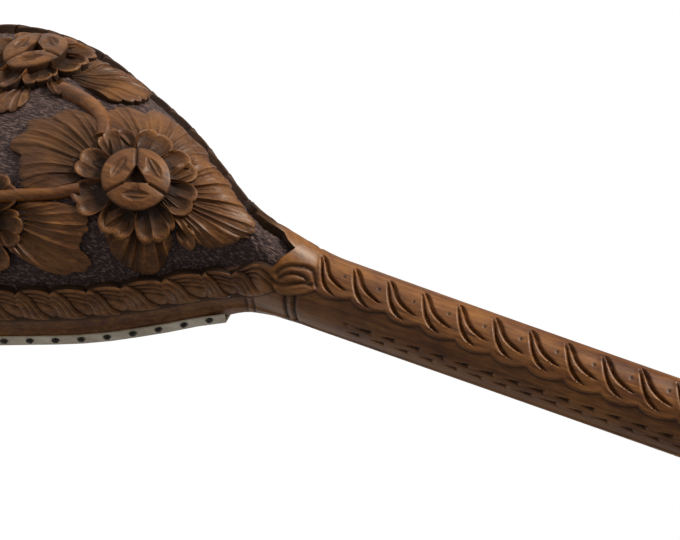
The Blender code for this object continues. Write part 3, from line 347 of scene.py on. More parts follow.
def pale_wood():
    finish = Finish("pale_wood", IOR=1.5)
    grain = finish.noise(380.0, 4.0, 0.6, (0.06, 1, 1))
    cloud = finish.noise(60.0, 2.0, 0.5)
    colour = finish.ramp(
        grain * 0.6 + cloud * 0.4,
        (0.38, (0.235, 0.115, 0.046, 1)),
        (0.55, (0.420, 0.235, 0.105, 1)),
        (0.70, (0.540, 0.340, 0.175, 1)),
    )
    finish.set(Base_Color=colour, Roughness=finish.stretch(grain, 0.3, 0.7, 0.36, 0.52))
    finish.set(Normal=finish.bump(grain, 0.0004, 0.4))
    return finish.material


def twisted_cord():
    finish = Finish("twisted_cord", IOR=1.45)
    fibre = finish.noise(1500.0, 3.0, 0.7)
    colour = finish.ramp(fibre, (0.35, (0.160, 0.100, 0.050, 1)), (0.65, (0.340, 0.240, 0.140, 1)))
    finish.set(Base_Color=colour, Roughness=finish.stretch(fibre, 0.3, 0.7, 0.7, 0.9))
    finish.set(Normal=finish.bump(fibre, 0.0005, 0.8))
    return finish.material


def place(s, depth, x=0.0):
    return Vector((x, -NECK_SETBACK + depth, s - NECK_REST))


def smooth_through(points, s):
    """The height at each s of a smooth curve through the points that never overshoots them."""
    xs, ys = (np.array(row, float) for row in zip(*points))
    s = np.clip(np.asarray(s, float), xs[0], xs[-1])
    steps = np.diff(xs)
    slopes = np.diff(ys) / steps
    tangents = np.zeros(len(xs))
    tangents[0], tangents[-1] = slopes[0], slopes[-1]
    product = slopes[:-1] * slopes[1:]
    together = np.where(slopes[:-1] + slopes[1:] == 0, 1.0, slopes[:-1] + slopes[1:])
    tangents[1:-1] = np.where(product > 0, 2 * product / together, 0.0)
    k = np.clip(np.searchsorted(xs, s, side="right") - 1, 0, len(steps) - 1)
    u = (s - xs[k]) / steps[k]
    return (
        ys[k] * (1 + 2 * u) * (1 - u) ** 2
        + tangents[k] * steps[k] * u * (1 - u) ** 2
        + ys[k + 1] * u * u * (3 - 2 * u)
        + tangents[k + 1] * steps[k] * u * u * (u - 1)
    )


def ease(start, end, value):
    u = np.clip((np.asarray(value, float) - start) / (end - start), 0.0, 1.0)
    return u * u * (3 - 2 * u)


def round_end(s, power):
    q = np.clip((WIDEST_AT - s) / END_LENGTH, 0.0, 0.9995)
    return (1 - q**power) ** (1 / power)


W, D = BOWL_HALF_WIDTH, BOWL_DEPTH
HALF_WIDTHS = (
    (BOTTOM, W),
    (WIDEST_AT, W),
    (-0.145, W * 0.950),
    (-0.105, W * 0.788),
    (-0.070, W * 0.626),
    (-0.040, W * 0.436),
    (-0.015, W * 0.262),
    (0.0, NECK_RADIUS),
    (PEG_BOX_START - 0.006, NECK_TOP_RADIUS),
    (SLOT_AT, PEG_BOX_HALF_WIDTH),
    (PEG_BOX_END, HEAD_HALF_WIDTH + 0.0025),
)
DEPTHS = (
    (BOTTOM, BOWL_DEPTH_AT_WIDEST * 0.8),
    (WIDEST_AT, BOWL_DEPTH_AT_WIDEST),
    (-0.145, D * 0.922),
    (-0.105, D),
    (-0.070, D * 0.976),
    (-0.035, D * 0.855),
    (0.0, D * 0.678),
    (0.040, 2 * NECK_RADIUS),
    (PEG_BOX_START - 0.006, NECK_SETBACK + 2 * NECK_TOP_RADIUS),
    (SLOT_AT, PEG_BOX_BACK),
    (PEG_BOX_END, PEG_BOX_BACK - 0.002),
)
FRONTS = (
    (-0.010, 0.0),
    (0.030, NECK_SETBACK),
    (PEG_BOX_START - 0.004, NECK_SETBACK),
    (SLOT_AT - SLOT_LENGTH / 2, -PEG_BOX_FORWARD * 0.75),
    (SLOT_AT + SLOT_LENGTH / 4, -PEG_BOX_FORWARD),
    (PEG_BOX_END, -PEG_BOX_FORWARD * 0.6),
)


def section_values(s):
    """Half width, front, widest level, depth, roundness and front corner of the sections at s."""
    width = smooth_through(HALF_WIDTHS, s) * round_end(s, 2.2)
    front = smooth_through(FRONTS, s)
    full = smooth_through(DEPTHS, s)
    widest = RIM_WALL + ((front + full) / 2 - RIM_WALL) * ease(-0.045, 0.015, s)
    depth = widest + (full - widest) * round_end(s, 2.0)
    power = ROUNDNESS + (2.0 - ROUNDNESS) * ease(-0.060, 0.010, s)
    corner = width + (NECK_FLAT - width) * ease(-0.030, 0.025, s)
    return width, front, widest, depth, power, corner


def half_section(s):
    """Half a section of the body at s, finely, as (x, depth) from the front centre to the back centre."""
    width, front, widest, depth, power, corner = section_values(s)
    side = np.linspace(0, math.pi / 2, 24, endpoint=False)
    back = np.linspace(0, math.pi / 2, 160)
    x = np.concatenate([corner + (width - corner) * np.sin(side), width * np.cos(back).clip(0) ** (2 / power)])
    y = np.concatenate([front + (widest - front) * (1 - np.cos(side)), widest + (depth - widest) * np.sin(back) ** (2 / power)])
    return corner, front, x, y


def side_at(s, level):
    """How far out the body's side is at s and level."""
    width, front, widest, depth, power, corner = section_values(s)
    up = np.clip((level - widest) / (depth - widest), 0, 1)
    fall = np.clip((level - front) / (widest - front), 0, 1)
    below = corner + (width - corner) * np.sqrt(1 - (1 - fall) ** 2)
    return np.where(level > widest, width * (1 - up**power) ** (1 / power), below)


def level_at(s, x):
    """The level of the body's back at s and x."""
    width, front, widest, depth, power, corner = section_values(s)
    return widest + (depth - widest) * (1 - np.clip(np.abs(x) / width, 0, 1) ** power) ** (1 / power)


def spots(s, level, x):
    """Points for rows of s, level and x."""
    return np.stack(np.broadcast_arrays(x, level - NECK_SETBACK, s - NECK_REST), -1)


def mesh_object(name, points, faces, material, attributes=None, smooth=True):
    mesh = bpy.data.meshes.new(name)
    mesh.from_pydata([tuple(p) for p in points], [], [tuple(f) for f in faces])
    mesh.update()
    for key, values in (attributes or {}).items():
        mesh.attributes.new(key, "FLOAT", "POINT").data.foreach_set("value", np.asarray(values, np.float32))
    mesh.polygons.foreach_set("use_smooth", [smooth] * len(mesh.polygons))
    mesh.materials.append(material)
    obj = bpy.data.objects.new(name, mesh)
    bpy.context.scene.collection.objects.link(obj)
    return obj


def face_outwards(obj, sharp=50.0):
    shape = bmesh.new()
    shape.from_mesh(obj.data)
    bmesh.ops.recalc_face_normals(shape, faces=shape.faces)
    if shape.calc_volume(signed=True) < 0:
        bmesh.ops.reverse_faces(shape, faces=shape.faces)
    shape.to_mesh(obj.data)
    shape.free()
    obj.data.set_sharp_from_angle(angle=math.radians(sharp))
    return obj


def body_rings(stations, front_count, side_count):
    """Rings of the body's outside at the stations, and each point's level."""
    rings, levels = [], []
    for s in stations:
        corner, front, x, y = half_section(s)
        run = np.concatenate([[0], np.cumsum(np.hypot(np.diff(x), np.diff(y)))])
        at = np.linspace(0, run[-1], side_count)
        hx = np.concatenate([np.linspace(0, corner, front_count, endpoint=False), np.interp(at, run, x)])
        hy = np.concatenate([np.full(front_count, front), np.interp(at, run, y)])
        hx[-1] = 0.0
        ring = spots(np.full(len(hx), s), hy, hx)
        rings.append(np.concatenate([ring, ring[-2:0:-1] * (-1, 1, 1)]))
        levels.append(np.concatenate([hy, hy[-2:0:-1]]))
    return np.array(rings), np.array(levels)


def grid_normals(rings):
    around = np.roll(rings, -1, 1) - np.roll(rings, 1, 1)
    along = np.gradient(rings, axis=0)
    normal = np.cross(around, along)
    length = np.linalg.norm(normal, axis=2, keepdims=True)
    return normal / np.where(length == 0, 1, length)


def ring_faces(rows, count):
    i = np.arange(rows - 1)[:, None] * count
    j = np.arange(count)[None, :]
    k = (j + 1) % count
    return np.stack([i + j, i + k, i + count + k, i + count + j], -1).reshape(-1, 4)


def end_stations(count):
    end = WIDEST_AT - END_LENGTH * np.sin(np.radians(np.linspace(88.5, 0, count, endpoint=False)))
    end[0] = BOTTOM
    return end


class Surface:
    """The uncarved outside of the body, to lay carving on."""

    def __init__(self):
        stations = np.concatenate([end_stations(70), np.arange(WIDEST_AT, 0.30, 0.0016)])
        rings, _ = body_rings(stations, 6, 70)
        self.points = [Vector(p) for p in rings.reshape(-1, 3)]
        self.normals = [Vector(n) for n in grid_normals(rings).reshape(-1, 3)]
        self.faces = ring_faces(*rings.shape[:2]).tolist()
        self.tree = BVHTree.FromPolygons(self.points, self.faces)

    def found(self, hit, index):
        face = self.faces[index]
        weights = poly_3d_calc([self.points[i] for i in face], hit)
        normal = Vector()
        for i, weight in zip(face, weights):
            normal += self.normals[i] * weight
        return hit, normal.normalized()

    def under(self, point, towards):
        """The surface's point and normal that a ray from the point meets."""
        hit, _, index, _ = self.tree.ray_cast(point, towards)
        if hit is None:
            hit, _, index, _ = self.tree.find_nearest(point)
        return self.found(hit, index)

    def nearest(self, point):
        hit, _, index, _ = self.tree.find_nearest(point)
        return self.found(hit, index)

    def frame(self, s, x):
        """Origin and axes (up the neck, to the side, outwards) on the back at s and x."""
        origin, out = self.under(place(s, 0.2, x), Vector((0, -1, 0)))
        up = (Vector((0, 0, 1)) - out * out.z).normalized()
        return origin, up, out.cross(up), out

    def lay(self, frame, up, side, height):
        """Points at a height over the surface, for rows of places up and to the side in a frame."""
        origin, first, second, out = frame
        found = []
        for a, b, h in zip(np.ravel(up), np.ravel(side), np.ravel(height)):
            hit, normal = self.under(origin + first * a + second * b + out * 0.06, -out)
            found.append(hit + normal * h)
        return np.array(found).reshape(*np.shape(height), 3)


def carved_ground(rings, levels):
    """How deep the wood is cut at each point under the raised carving, and how much is punched ground."""
    s = rings[:, :, 2] + NECK_REST
    x = rings[:, :, 0]
    edge = smooth_through(PANEL_LEVELS, s)
    panel = ease(edge - 0.0035, edge - 0.0020, levels) * (1 - ease(PANEL_TIP, PANEL_TIP + 0.001, s))
    foot = smooth_through(ROPE_FOOT, s)
    bed = ease(foot + 0.0022, foot + 0.0040, levels)
    top = smooth_through(NEAR_ROPE_TOP, s)
    past_tip = ease(PANEL_TIP, PANEL_TIP + 0.002, s)
    far_side = 1 - ease(-top - 0.0040, -top - 0.0020, x)
    bed = bed * (1 - past_tip + past_tip * far_side) * (1 - ease(0.283, 0.285, s))
    plain = PLAIN_DEEP * ease(0.009, 0.011, levels) * (1 - 0.2 * ease(0.0, 0.06, s)) * (1 - ease(0.286, 0.294, s))
    deep = plain + (BED_DEEP - plain) * bed
    return deep + (PANEL_DEEP - deep) * panel, panel


def lines_across(s, levels):
    """How deep the lines are cut across the body's sides where the bowl meets the neck, below the rope."""
    deep = 0
    for at, depth in INCISED_LINES:
        deep = deep + depth * np.exp(-(((s - at) / 0.0009) ** 2))
    foot = smooth_through(ROPE_FOOT, s)
    return deep * ease(0.004, 0.008, levels) * (1 - ease(foot + 0.002, foot + 0.004, levels))


def neck_punches(s, x, levels):
    """Two rows of wedge cuts along each side of the neck, below the rope."""
    deep = 0
    for level, shift in ((0.0245, 0.0), (0.0190, 0.45)):
        u = ((s - 0.0472) / PUNCH_PITCH + shift) % 1.0 * PUNCH_PITCH / PUNCH_LENGTH
        half = 0.0017 * np.clip(u, 0, 1) ** 0.8
        off = (levels - level) / np.maximum(half, 1e-5)
        fork = u < 0.80 + 0.20 * np.clip(np.abs(off), 0, 1)
        deep = deep + 0.0014 * np.sqrt(np.clip(1 - off**2, 0, 1)) * fork * ease(0.05, 0.06, s) * (1 - ease(0.27, 0.28, s))
    return deep


def carved_part(name, stations, side_count, material, rough=0.0):
    rings, levels = body_rings(stations, 12, side_count)
    s, x = rings[:, :, 2] + NECK_REST, rings[:, :, 0]
    deep, panel = carved_ground(rings, levels)
    cuts = lines_across(s, levels) + neck_punches(s, x, levels) * ease(0.03, 0.04, s)
    deep = deep + cuts
    if rough:
        strokes = np.array([noise.noise(Vector((p[0] * 330, p[1] * 330, p[2] * 520))) for p in rings.reshape(-1, 3)])
        deep = deep + rough * strokes.reshape(deep.shape) * panel
    # painted shade in the incised lines and the punched wedges
    cut_dark = np.clip(cuts / 0.0006, 0, 1) * 0.95
    # painted shade in a thin line just below the rope's foot
    below = smooth_through(ROPE_FOOT, s) + 0.68 * foot_rise(s) - levels
    width = 0.0012 - 0.0004 * ease(0.01, 0.04, s)
    shade_below_rope_foot = np.exp(-((np.maximum(below, 0) / width) ** 2)) * (below > -0.006) * (1 - ease(0.017, 0.020, s) * (x > 0))
    cut_dark = np.maximum(cut_dark, 0.85 * shade_below_rope_foot * (1 - ease(0.283, 0.287, s)))
    points = rings - grid_normals(rings) * deep[..., None]
    body = closed_loft(name, points, material, {"sunk": cut_dark.reshape(-1), "punched": panel.reshape(-1)})
    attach(body, "body")
    return body


def carved_body(material):
    """Bowl and neck, each cut down where the raised carving or the punched ground lies."""
    middle = np.arange(WIDEST_AT, -0.010, 0.00105)
    lines = np.arange(-0.010, 0.0230, 0.00055)
    bowl = carved_part("carved_bowl", np.concatenate([end_stations(96), middle, lines]), 118, material, 0.0006)
    neck = carved_part("carved_neck", np.concatenate([lines[-1:], np.arange(0.0235, 0.2965, 0.0009)]), 108, material)
    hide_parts("carved_body")
    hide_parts("carved_body")


def end_at(level):
    """Where along the bowl's end the middle of the back is at this level."""
    s = BOTTOM + (WIDEST_AT - BOTTOM) * np.linspace(0, 1, 2000) ** 2
    return np.interp(level, section_values(s)[3], s)


def foot_rise(s):
    """How far the rope's scalloped foot draws in above its lowest line, along the neck."""
    scallop = np.interp(s, NECK_CUSPS, np.arange(len(NECK_CUSPS))) % 1.0
    return 0.0031 * (1 - np.sin(np.pi * scallop**0.8)) * ease(0.000, 0.016, s)


def rope_path(top_edge, end, step):
    """Points a step apart along the top and the foot of the rope band, from the bowl's bottom centre, and s."""
    swing = np.cos(np.radians(np.linspace(0, 90, 140, endpoint=False)))
    along = np.arange(WIDEST_AT, end, 0.0008)
    top_s = WIDEST_AT - (WIDEST_AT - end_at(PANEL_EDGE)) * swing
    foot_level = ROPE_FOOT[0][1]
    foot_s = WIDEST_AT - (WIDEST_AT - end_at(foot_level)) * swing
    blend = ease(-0.020, -0.008, along)
    top_x = side_at(along, PANEL_EDGE) * (1 - blend) + smooth_through(top_edge, along) * blend
    foot = smooth_through(ROPE_FOOT, along)
    tops = np.concatenate([
        spots(top_s, PANEL_EDGE, side_at(top_s, PANEL_EDGE)),
        spots(along, np.where(along < -0.030, PANEL_EDGE, level_at(along, top_x)), top_x),
    ])
    feet = np.concatenate([spots(foot_s, foot_level, side_at(foot_s, foot_level)), spots(along, foot, side_at(along, foot))])
    run = np.concatenate([[0], np.cumsum(np.linalg.norm(np.diff((tops + feet) / 2, axis=0), axis=1))])
    at = np.arange(0, run[-1], step)
    s = np.concatenate([top_s, along])
    resample = lambda rows: np.stack([np.interp(at, run, rows[:, i]) for i in range(3)], -1)
    return at, resample(tops), resample(feet), np.interp(at, run, s)


def strand_height(index, w, top, foot, breadth):
    """Height of the rope's strands, in metres, at a strand count and a share w of the way across the band."""
    t = 1 - 2 * w
    shift = ROPE_SHIFT / 2 * (1 - 0.45 * t - 0.55 * t**3)
    lean = ROPE_SHIFT * (0.45 + 1.65 * t * t)
    c = (index - shift) % 1.0
    across = ROPE_PITCH / np.hypot(1, ROPE_PITCH * lean / breadth)
    right, left = (1 - c) * across, c * across
    arch = np.maximum(top, 1e-5)
    arch = (arch**-4 + np.maximum(right, 1e-5) ** -4) ** -0.25
    height = -0.0013 * (1 - c) ** 1.6
    height = height - 0.0019 * np.clip(1 - right / 0.0017, 0, 1) ** 2
    height = height - 0.0010 * np.clip(1 - left / 0.0013, 0, 1) ** 2
    height = height - 0.0009 * np.clip(1 - top / 0.0016, 0, 1) ** 2 - 0.0009 * np.clip(1 - foot / 0.0016, 0, 1) ** 2
    for at, depth in ((0.0027, 0.0012), (0.0055, 0.0011), (0.0083, 0.0008)):
        height = height - depth * (1 - ease(0.72, 0.98, w)) * np.exp(-(((arch - at) / 0.00075) ** 2))
    eye = ((c - 0.42) / 0.13) ** 2 + ((w - 0.50) / 0.07) ** 2
    return height - 0.0007 * np.exp(-eye * 1.5)


def away_from(line, s, v):
    """How far s and v lie from a line of points, all in millimetres."""
    nearest = np.full(np.shape(s), 99.0)
    for (s0, v0), (s1, v1) in zip(line, line[1:]):
        share = np.clip(((s - s0) * (s1 - s0) + (v - v0) * (v1 - v0)) / ((s1 - s0) ** 2 + (v1 - v0) ** 2), 0, 1)
        nearest = np.minimum(nearest, np.hypot(s - s0 - share * (s1 - s0), v - v0 - share * (v1 - v0)))
    return nearest


def neck_strands(s, v):
    """Height and painted shade of the neck's carving at s and v, the way across its back from the middle."""
    height, dark = np.zeros(np.shape(s)), np.zeros(np.shape(s))
    v = v * 1000
    heel = s < 0.037
    for line in HEEL_LINES:
        cut_in = np.clip(1 - away_from(line, s[heel] * 1000, v[heel]) / 1.7, 0, 1)
        height[heel] -= 0.0015 * cut_in**1.3
        # painted shade in the lines cut across the heel
        dark[heel] = np.maximum(dark[heel], 0.75 * cut_in)
    for cusp in NECK_CUSPS[1:]:
        near = (s > cusp - 0.010) & (s < cusp + 0.020)
        u, across = (s[near] - cusp) * 1000, v[near]
        for lip, wall in CLAWS:
            left, right = smooth_through(lip, across), smooth_through(wall, across)
            ahead = smooth_through(lip, across + 0.3) + smooth_through(wall, across + 0.3)
            slope = (ahead - left - right) / 0.6
            width = (right - left) / np.hypot(1, slope)
            share = (u - left) / np.maximum(right - left, 0.01)
            within = ease(lip[0][0], lip[0][0] + 1.0, across) * (1 - ease(lip[-1][0] - 0.5, lip[-1][0], across))
            gouge = ease(-0.05, 0.60, share) * (1 - ease(0.66, 1.08, share))
            ridge = np.exp(-(((share + 0.36) / 0.50) ** 2))
            deep = np.minimum(1.15 * width, 2.4) * within
            height[near] += (0.15 * ridge * np.minimum(width, 1.8) * within - deep * gouge) / 1000
            # painted shade on the deep wall of each gouge
            shade = ease(0.25, 0.80, share) * (1 - ease(0.94, 1.08, share))
            dark[near] = np.maximum(dark[near], within * shade * 0.40)
        dot = ((u - 11.3) / 0.8) ** 2 + ((across - 0.6) / 0.8) ** 2
        height[near] -= 0.0005 * np.exp(-dot)
        # painted shade in the punched dot
        dark[near] = np.maximum(dark[near], 1.3 * np.exp(-dot))
    return height, dark


def rope_band(name, surface, material, top_edge, end, side):
    """The carved rope, from the bottom of the bowl along one side, as a closed solid let into the wood."""
    at, tops, feet, s = rope_path(top_edge, end, 0.00052)
    first = np.interp(ROPE_NOTCHES[0], s, at)
    ahead = round(first / ROPE_PITCH)
    knots = np.concatenate([np.linspace(0, first, ahead, endpoint=False), np.interp([n for n in ROPE_NOTCHES if n < end], s, at)])
    index = np.interp(at, knots, np.arange(len(knots)))
    late = at > knots[-1]
    index[late] = len(knots) - 1 + (at[late] - knots[-1]) / ROPE_PITCH
    on_neck = ease(0.000, 0.016, s)
    breadth = np.linalg.norm(tops - feet, axis=1)
    arch = np.abs(np.sin(np.pi * index)) ** 0.5
    sole = np.abs(np.sin(np.pi * (index - ROPE_SHIFT))) ** 0.6
    top_in = 0.0032 * (1 - arch) * (1 - on_neck)
    foot_in = 0.0022 * (1 - sole) * (1 - on_neck) + foot_rise(s)
    rows = np.linspace(0, 1, 64)
    w = (top_in / breadth)[:, None] + (1 - (top_in + foot_in) / breadth)[:, None] * rows
    laid = [[surface.nearest(Vector(tops[i]).lerp(Vector(feet[i]), share)) for share in w[i]] for i in range(len(at))]
    hits, normals = (np.array([[pair[k] for pair in row] for row in laid]) for k in (0, 1))
    width, front, widest, full, power, corner = (value[:, None] for value in section_values(s))
    round_back = (hits[..., 1] + NECK_SETBACK - widest) * width / (full - widest)
    v = np.arctan2(hits[..., 0], round_back) * width
    neck = ease(0.003, 0.010, s)[:, None] + np.zeros(w.shape)
    inner = (w * breadth[:, None] - top_in[:, None], (1 - w) * breadth[:, None] - foot_in[:, None])
    bowl_height = strand_height(index[:, None], w, *inner, breadth[:, None])
    neck_height, neck_dark = neck_strands(np.broadcast_to(s[:, None], v.shape), v)
    edge = np.maximum(ease(-0.0112, -0.0070, v), 1 - ease(0.016, 0.024, s)[:, None])
    neck_height = neck_height - (PLAIN_DEEP + 0.0004) * (1 - edge) + 0.0006 * edge - 0.0011 * np.clip(1 - inner[1] / 0.0015, 0, 1) ** 2
    # painted shade along the lower edge of the neck's rope
    neck_dark = np.maximum(neck_dark, 0.9 * np.clip(1 - inner[1] / 0.0006, 0, 1) * edge)
    neck_height = neck_height + 0.0005 * np.exp(-(((inner[1] - 0.0014) / 0.0020) ** 2)) * edge
    # painted shade in the grooves of the bowl's strands
    bowl_dark = np.clip((-bowl_height - 0.0009) / 0.0013, 0, 0.92)
    if side > 0:
        # painted shadow along the far band's top edge and over the whole far band on the bowl
        bowl_dark = np.maximum(bowl_dark, 0.85 * np.exp(-((w / 0.12) ** 2)))
        bowl_dark = np.maximum(bowl_dark, 0.86 * (1 - ease(0.004, 0.016, s))[:, None])
        neck, neck_height = ease(0.000, 0.014, s)[:, None] + 0 * w, np.full(w.shape, -PLAIN_DEEP - 0.0001)
        neck_dark = np.zeros(w.shape)
    height = bowl_height + (neck_height - bowl_height) * neck
    dark = bowl_dark + (neck_dark - bowl_dark) * neck
    deep = WALL_DEEP - 0.0026 * on_neck
    rings = []
    for i in range(len(at)):
        ring = [hits[i, j] + normals[i, j] * height[i, j] for j in range(len(rows))]
        under = [hits[i, j] - normals[i, j] * deep[i] for j in (0, 21, 42, len(rows) - 1)]
        first_wall = hits[i, 0] + normals[i, 0] * (height[i, 0] - EDGE_DROP)
        last_wall = hits[i, -1] + normals[i, -1] * (height[i, -1] - EDGE_DROP)
        rings.append(ring + [last_wall] + under[::-1] + [first_wall])
    loft = np.array(rings) * (side, 1, 1)
    # painted shade on the band's walls and underside
    dark = np.concatenate([dark, np.full((len(at), loft.shape[1] - len(rows)), 1.0)], 1)
    rope = face_outwards(closed_loft(name, loft, material, {"sunk": dark.reshape(-1)}))
    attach(rope, "body")
    return rope


LEAF_RISE = 0.0036  # a leaf starts this much lower, under its flower


def fan(name, surface, material, at, outline, ribs, top=-0.0018, flute=0.0014, extra_painted_shade=0.0, rise=LEAF_RISE, turn=0.0, petal=False):
    """A leaf or petal: hollow flutes that spread from its base between sharp ribs, and a scalloped edge.

    A leaf's flutes run all its length; a petal's are cups, closed at the outer edge by a thin raised rim."""
    start, bend, fine = (0.010, -4.0, 18) if petal else (0.0015, 5.0, 10)
    frame = surface.frame(*at)
    widths = np.cumsum(np.concatenate([[0], 1 + 0.28 * np.sin(np.arange(ribs) * 2.3 + 0.7)]))
    between = np.interp(np.arange(ribs * fine + 1) / fine, np.arange(ribs + 1), widths / widths[-1])
    degrees = outline[0][0] + (outline[-1][0] - outline[0][0]) * between
    radius = smooth_through(outline, degrees) / 1000
    u = np.arange(ribs * fine + 1) / fine % 1.0
    scallop = np.sin(np.pi * u) ** (0.6 if petal else 1.0)
    which = np.floor(np.arange(len(u)) / fine)
    uneven = 0.72 + 0.28 * np.sin(which * 4.1 + at[0] * 900) + 0.25 * (which % 3 == 1)
    length = radius * (1 + (0.060 if petal else 0.040 * uneven) * (scallop - 0.6))
    steps = max(8, round(float(radius.max() - start) / (0.0009 if petal else 0.0013)))
    k = np.concatenate([np.linspace(0, 0.95, steps), [0.975, 0.99, 1.0]])[:, None]
    r = start + (length - start) * k
    spread = np.linspace(-1, 1, len(degrees))
    height = top - 0.0009 * k**2.5 + 0.0003 * np.sin(which * 2.4)
    if petal:
        height = height + rise * ease(0.35, 0.97, k) + 0.0006 * spread - 0.0004 * ease(0.97, 1.0, k) ** 2
        inside = 1 - ease(0.80, 0.99, np.abs(spread))
        cup = (0.55 * inside + 0.45 * scallop**1.2) * ease(0.25, 0.72, k) * (1 - 0.95 * ease(0.80, 0.96, k))
        height = height - flute * cup
        # painted shade: dark next to the heart, and inside the cups
        shade = 0.75 * (1 - ease(0.36, 0.66, k)) + 0.22 * inside * ease(0.3, 0.6, k) * (1 - ease(0.76, 0.90, k))
    else:
        hollow = scallop**0.8 - 0.30 * np.exp(-(((u - 0.5) / 0.09) ** 2))
        height = height + rise * ease(0.28, 0.80, k) - 0.0008 * np.abs(spread) ** 5 - 0.0005 * ease(0.95, 1.0, k) ** 2
        height = height - flute * uneven * hollow * ease(0.08, 0.45, k)
        # painted shade: dark at the base, under its flower
        shade = 0.5 * (1 - ease(0.05, 0.45, k))
    angle = np.radians(degrees + turn + bend * k * k)
    up, across = r * np.cos(angle), r * np.sin(angle)
    grid = surface.lay(frame, up, across, height)
    rows, count = height.shape
    edge = [(0, j) for j in range(count)] + [(i, count - 1) for i in range(1, rows)]
    edge += [(rows - 1, j) for j in range(count - 2, -1, -1)] + [(i, 0) for i in range(rows - 2, 0, -1)]
    edge_up, edge_across = (np.array([rows_of[i, j] for i, j in edge]) for rows_of in (up, across))
    edge_height = np.array([height[i, j] for i, j in edge])
    brink = surface.lay(frame, edge_up, edge_across, edge_height - EDGE_DROP)
    lower = surface.lay(frame, edge_up, edge_across, np.full(len(edge), -WALL_DEEP))
    points = np.concatenate([grid.reshape(-1, 3), brink, lower, [lower.mean(0) - np.array(frame[3]) * 0.001]])
    i, j = np.arange(rows - 1)[:, None] * count, np.arange(count - 1)[None, :]
    faces = np.stack([i + j, i + j + 1, i + count + j + 1, i + count + j], -1).reshape(-1, 4).tolist()
    first, low, last = rows * count, rows * count + len(edge), rows * count + 2 * len(edge)
    for n, (a, b) in enumerate(edge):
        after = (n + 1) % len(edge)
        c, d = edge[after]
        faces += [[a * count + b, c * count + d, first + after, first + n], [first + n, first + after, low + after, low + n]]
        faces.append([low + n, low + after, last])
    # painted shade: darker the lower the surface lies, plus the shade above and the leaf's extra shade; the walls and
    # underside are fully shaded
    dark = np.clip((top + rise - height - 0.0002) / 0.0050, 0, 0.5) + shade + extra_painted_shade
    sunk = np.concatenate([np.clip(dark, 0, 1).reshape(-1), np.full(2 * len(edge) + 1, 1.0)])
    rib, reach = np.radians(degrees + turn) * 0.030 + at[0] + np.zeros_like(r), r + at[1]
    ways = {}
    for way, values in (("rib", rib), ("reach", reach)):
        round_edge = [values[i, j] for i, j in edge]
        ways[way] = np.concatenate([values.reshape(-1), round_edge, round_edge, [0.0]])
    piece = face_outwards(mesh_object(name, points, faces, material, {"sunk": sunk, **ways}), 60.0)
    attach(piece, "body")
    return piece


def flower_disc(name, surface, material, at, turn, radius=0.0175, top=0.0006, lean=0.0):
    """A flower's heart: three domed lobes with an eye cut in each, round a three-cornered hole.

    Its top leans out from the bowl's side by the share lean of the way from its middle."""
    frame = surface.frame(*at)
    degrees = np.linspace(0, 360, 168, endpoint=False)
    third = (degrees + 60) % 120 - 60
    hole = np.minimum(0.0034 / np.cos(np.radians(third)), 0.0072 - 0.0009 * np.abs(third) / 60)
    lobe = np.abs(third) / 60
    lines = []
    for share in (0.0, 0.6, 1.0):
        lines.append((hole * share + (1 - share) * 0.0008, np.full(len(degrees), top - 0.0052)))
    lines.append((hole, np.full(len(degrees), top - 0.0018)))
    lines.append((hole * 1.05, np.full(len(degrees), top - 0.0005)))
    for r in np.linspace(0.0075, radius - EDGE_ROUND, 26):
        away = r * np.sin(np.radians(60 - np.abs(third)))
        dome = -0.0004 * ((r - 0.0110) / 0.006) ** 2
        split = -0.0012 * np.exp(-((away / 0.0007) ** 2)) - 0.0005 * lobe**3
        out, along = r * np.cos(np.radians(third)) - 0.0100, r * np.sin(np.radians(third))
        eye = np.hypot(along / 0.0070, out / (0.0030 * np.sqrt(np.clip(1 - (along / 0.0074) ** 2, 0.1, 1))))
        almond = np.clip(1.05 - eye**2, 0, 1) ** 0.7
        cuts = -0.0015 * almond + 0.0009 * almond * np.exp(-(((out - 0.0004) / 0.0007) ** 2))
        lines.append((np.full(len(degrees), r), top + dome + split + cuts))
    rim_drop = lines[-1][1]
    for swing in (25, 50, 75, 90):
        a = math.radians(swing)
        lines.append((np.full(len(degrees), radius - EDGE_ROUND * (1 - math.sin(a))), rim_drop - EDGE_ROUND * (1 - math.cos(a))))
    lines.append((np.full(len(degrees), radius), np.full(len(degrees), -WALL_DEEP)))
    lines.append((np.full(len(degrees), radius * 0.05), np.full(len(degrees), -WALL_DEEP - 0.001)))
    angle = np.radians(degrees + turn)
    tips = [lean * r * np.sin(angle) * (h.max() > -WALL_DEEP * 0.9) for r, h in lines]
    rings = [surface.lay(frame, r * np.cos(angle), r * np.sin(angle), h + tip) for (r, h), tip in zip(lines, tips)]
    # painted shade: darker the lower each ring lies, in the hole, the eyes and down the wall, with a little over the
    # whole heart
    dark = [np.clip(0.16 + (top - 0.0003 - h) / 0.0020, 0, 1.0) for r, h in lines]
    disc = face_outwards(closed_loft(name, rings, material, {"sunk": np.concatenate(dark)}))
    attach(disc, "body")
    return disc


PETAL = (
    # the outline of a petal: degrees from its middle line and a radius in millimetres
    (-24, 19.5), (-23, 24), (-20.5, 27.5), (-15, 30.5), (-7, 32), (0, 32), (7, 32), (15, 30.5), (20.5, 27.5), (23, 24), (24, 19.5))


def flower(number, surface, material, at, turn, heart, lobes, lift=0.0, lean=0.0):
    """Eight cupped petals round a raised heart."""
    for i, count in enumerate(lobes):
        outline = tuple((a, r * (1 + 0.03 * math.sin(i * 2.7))) for a, r in PETAL)
        fan(f"flower_{number}_petal_{i + 1}", surface, material, at, outline, count, top=0.4 * lift - 0.0043, flute=0.0021,
            rise=0.0036, turn=turn + 45 * i, petal=True)
    flower_disc(f"flower_{number}_heart", surface, material, at, heart, 0.0175, 0.0006 + lift, lean)


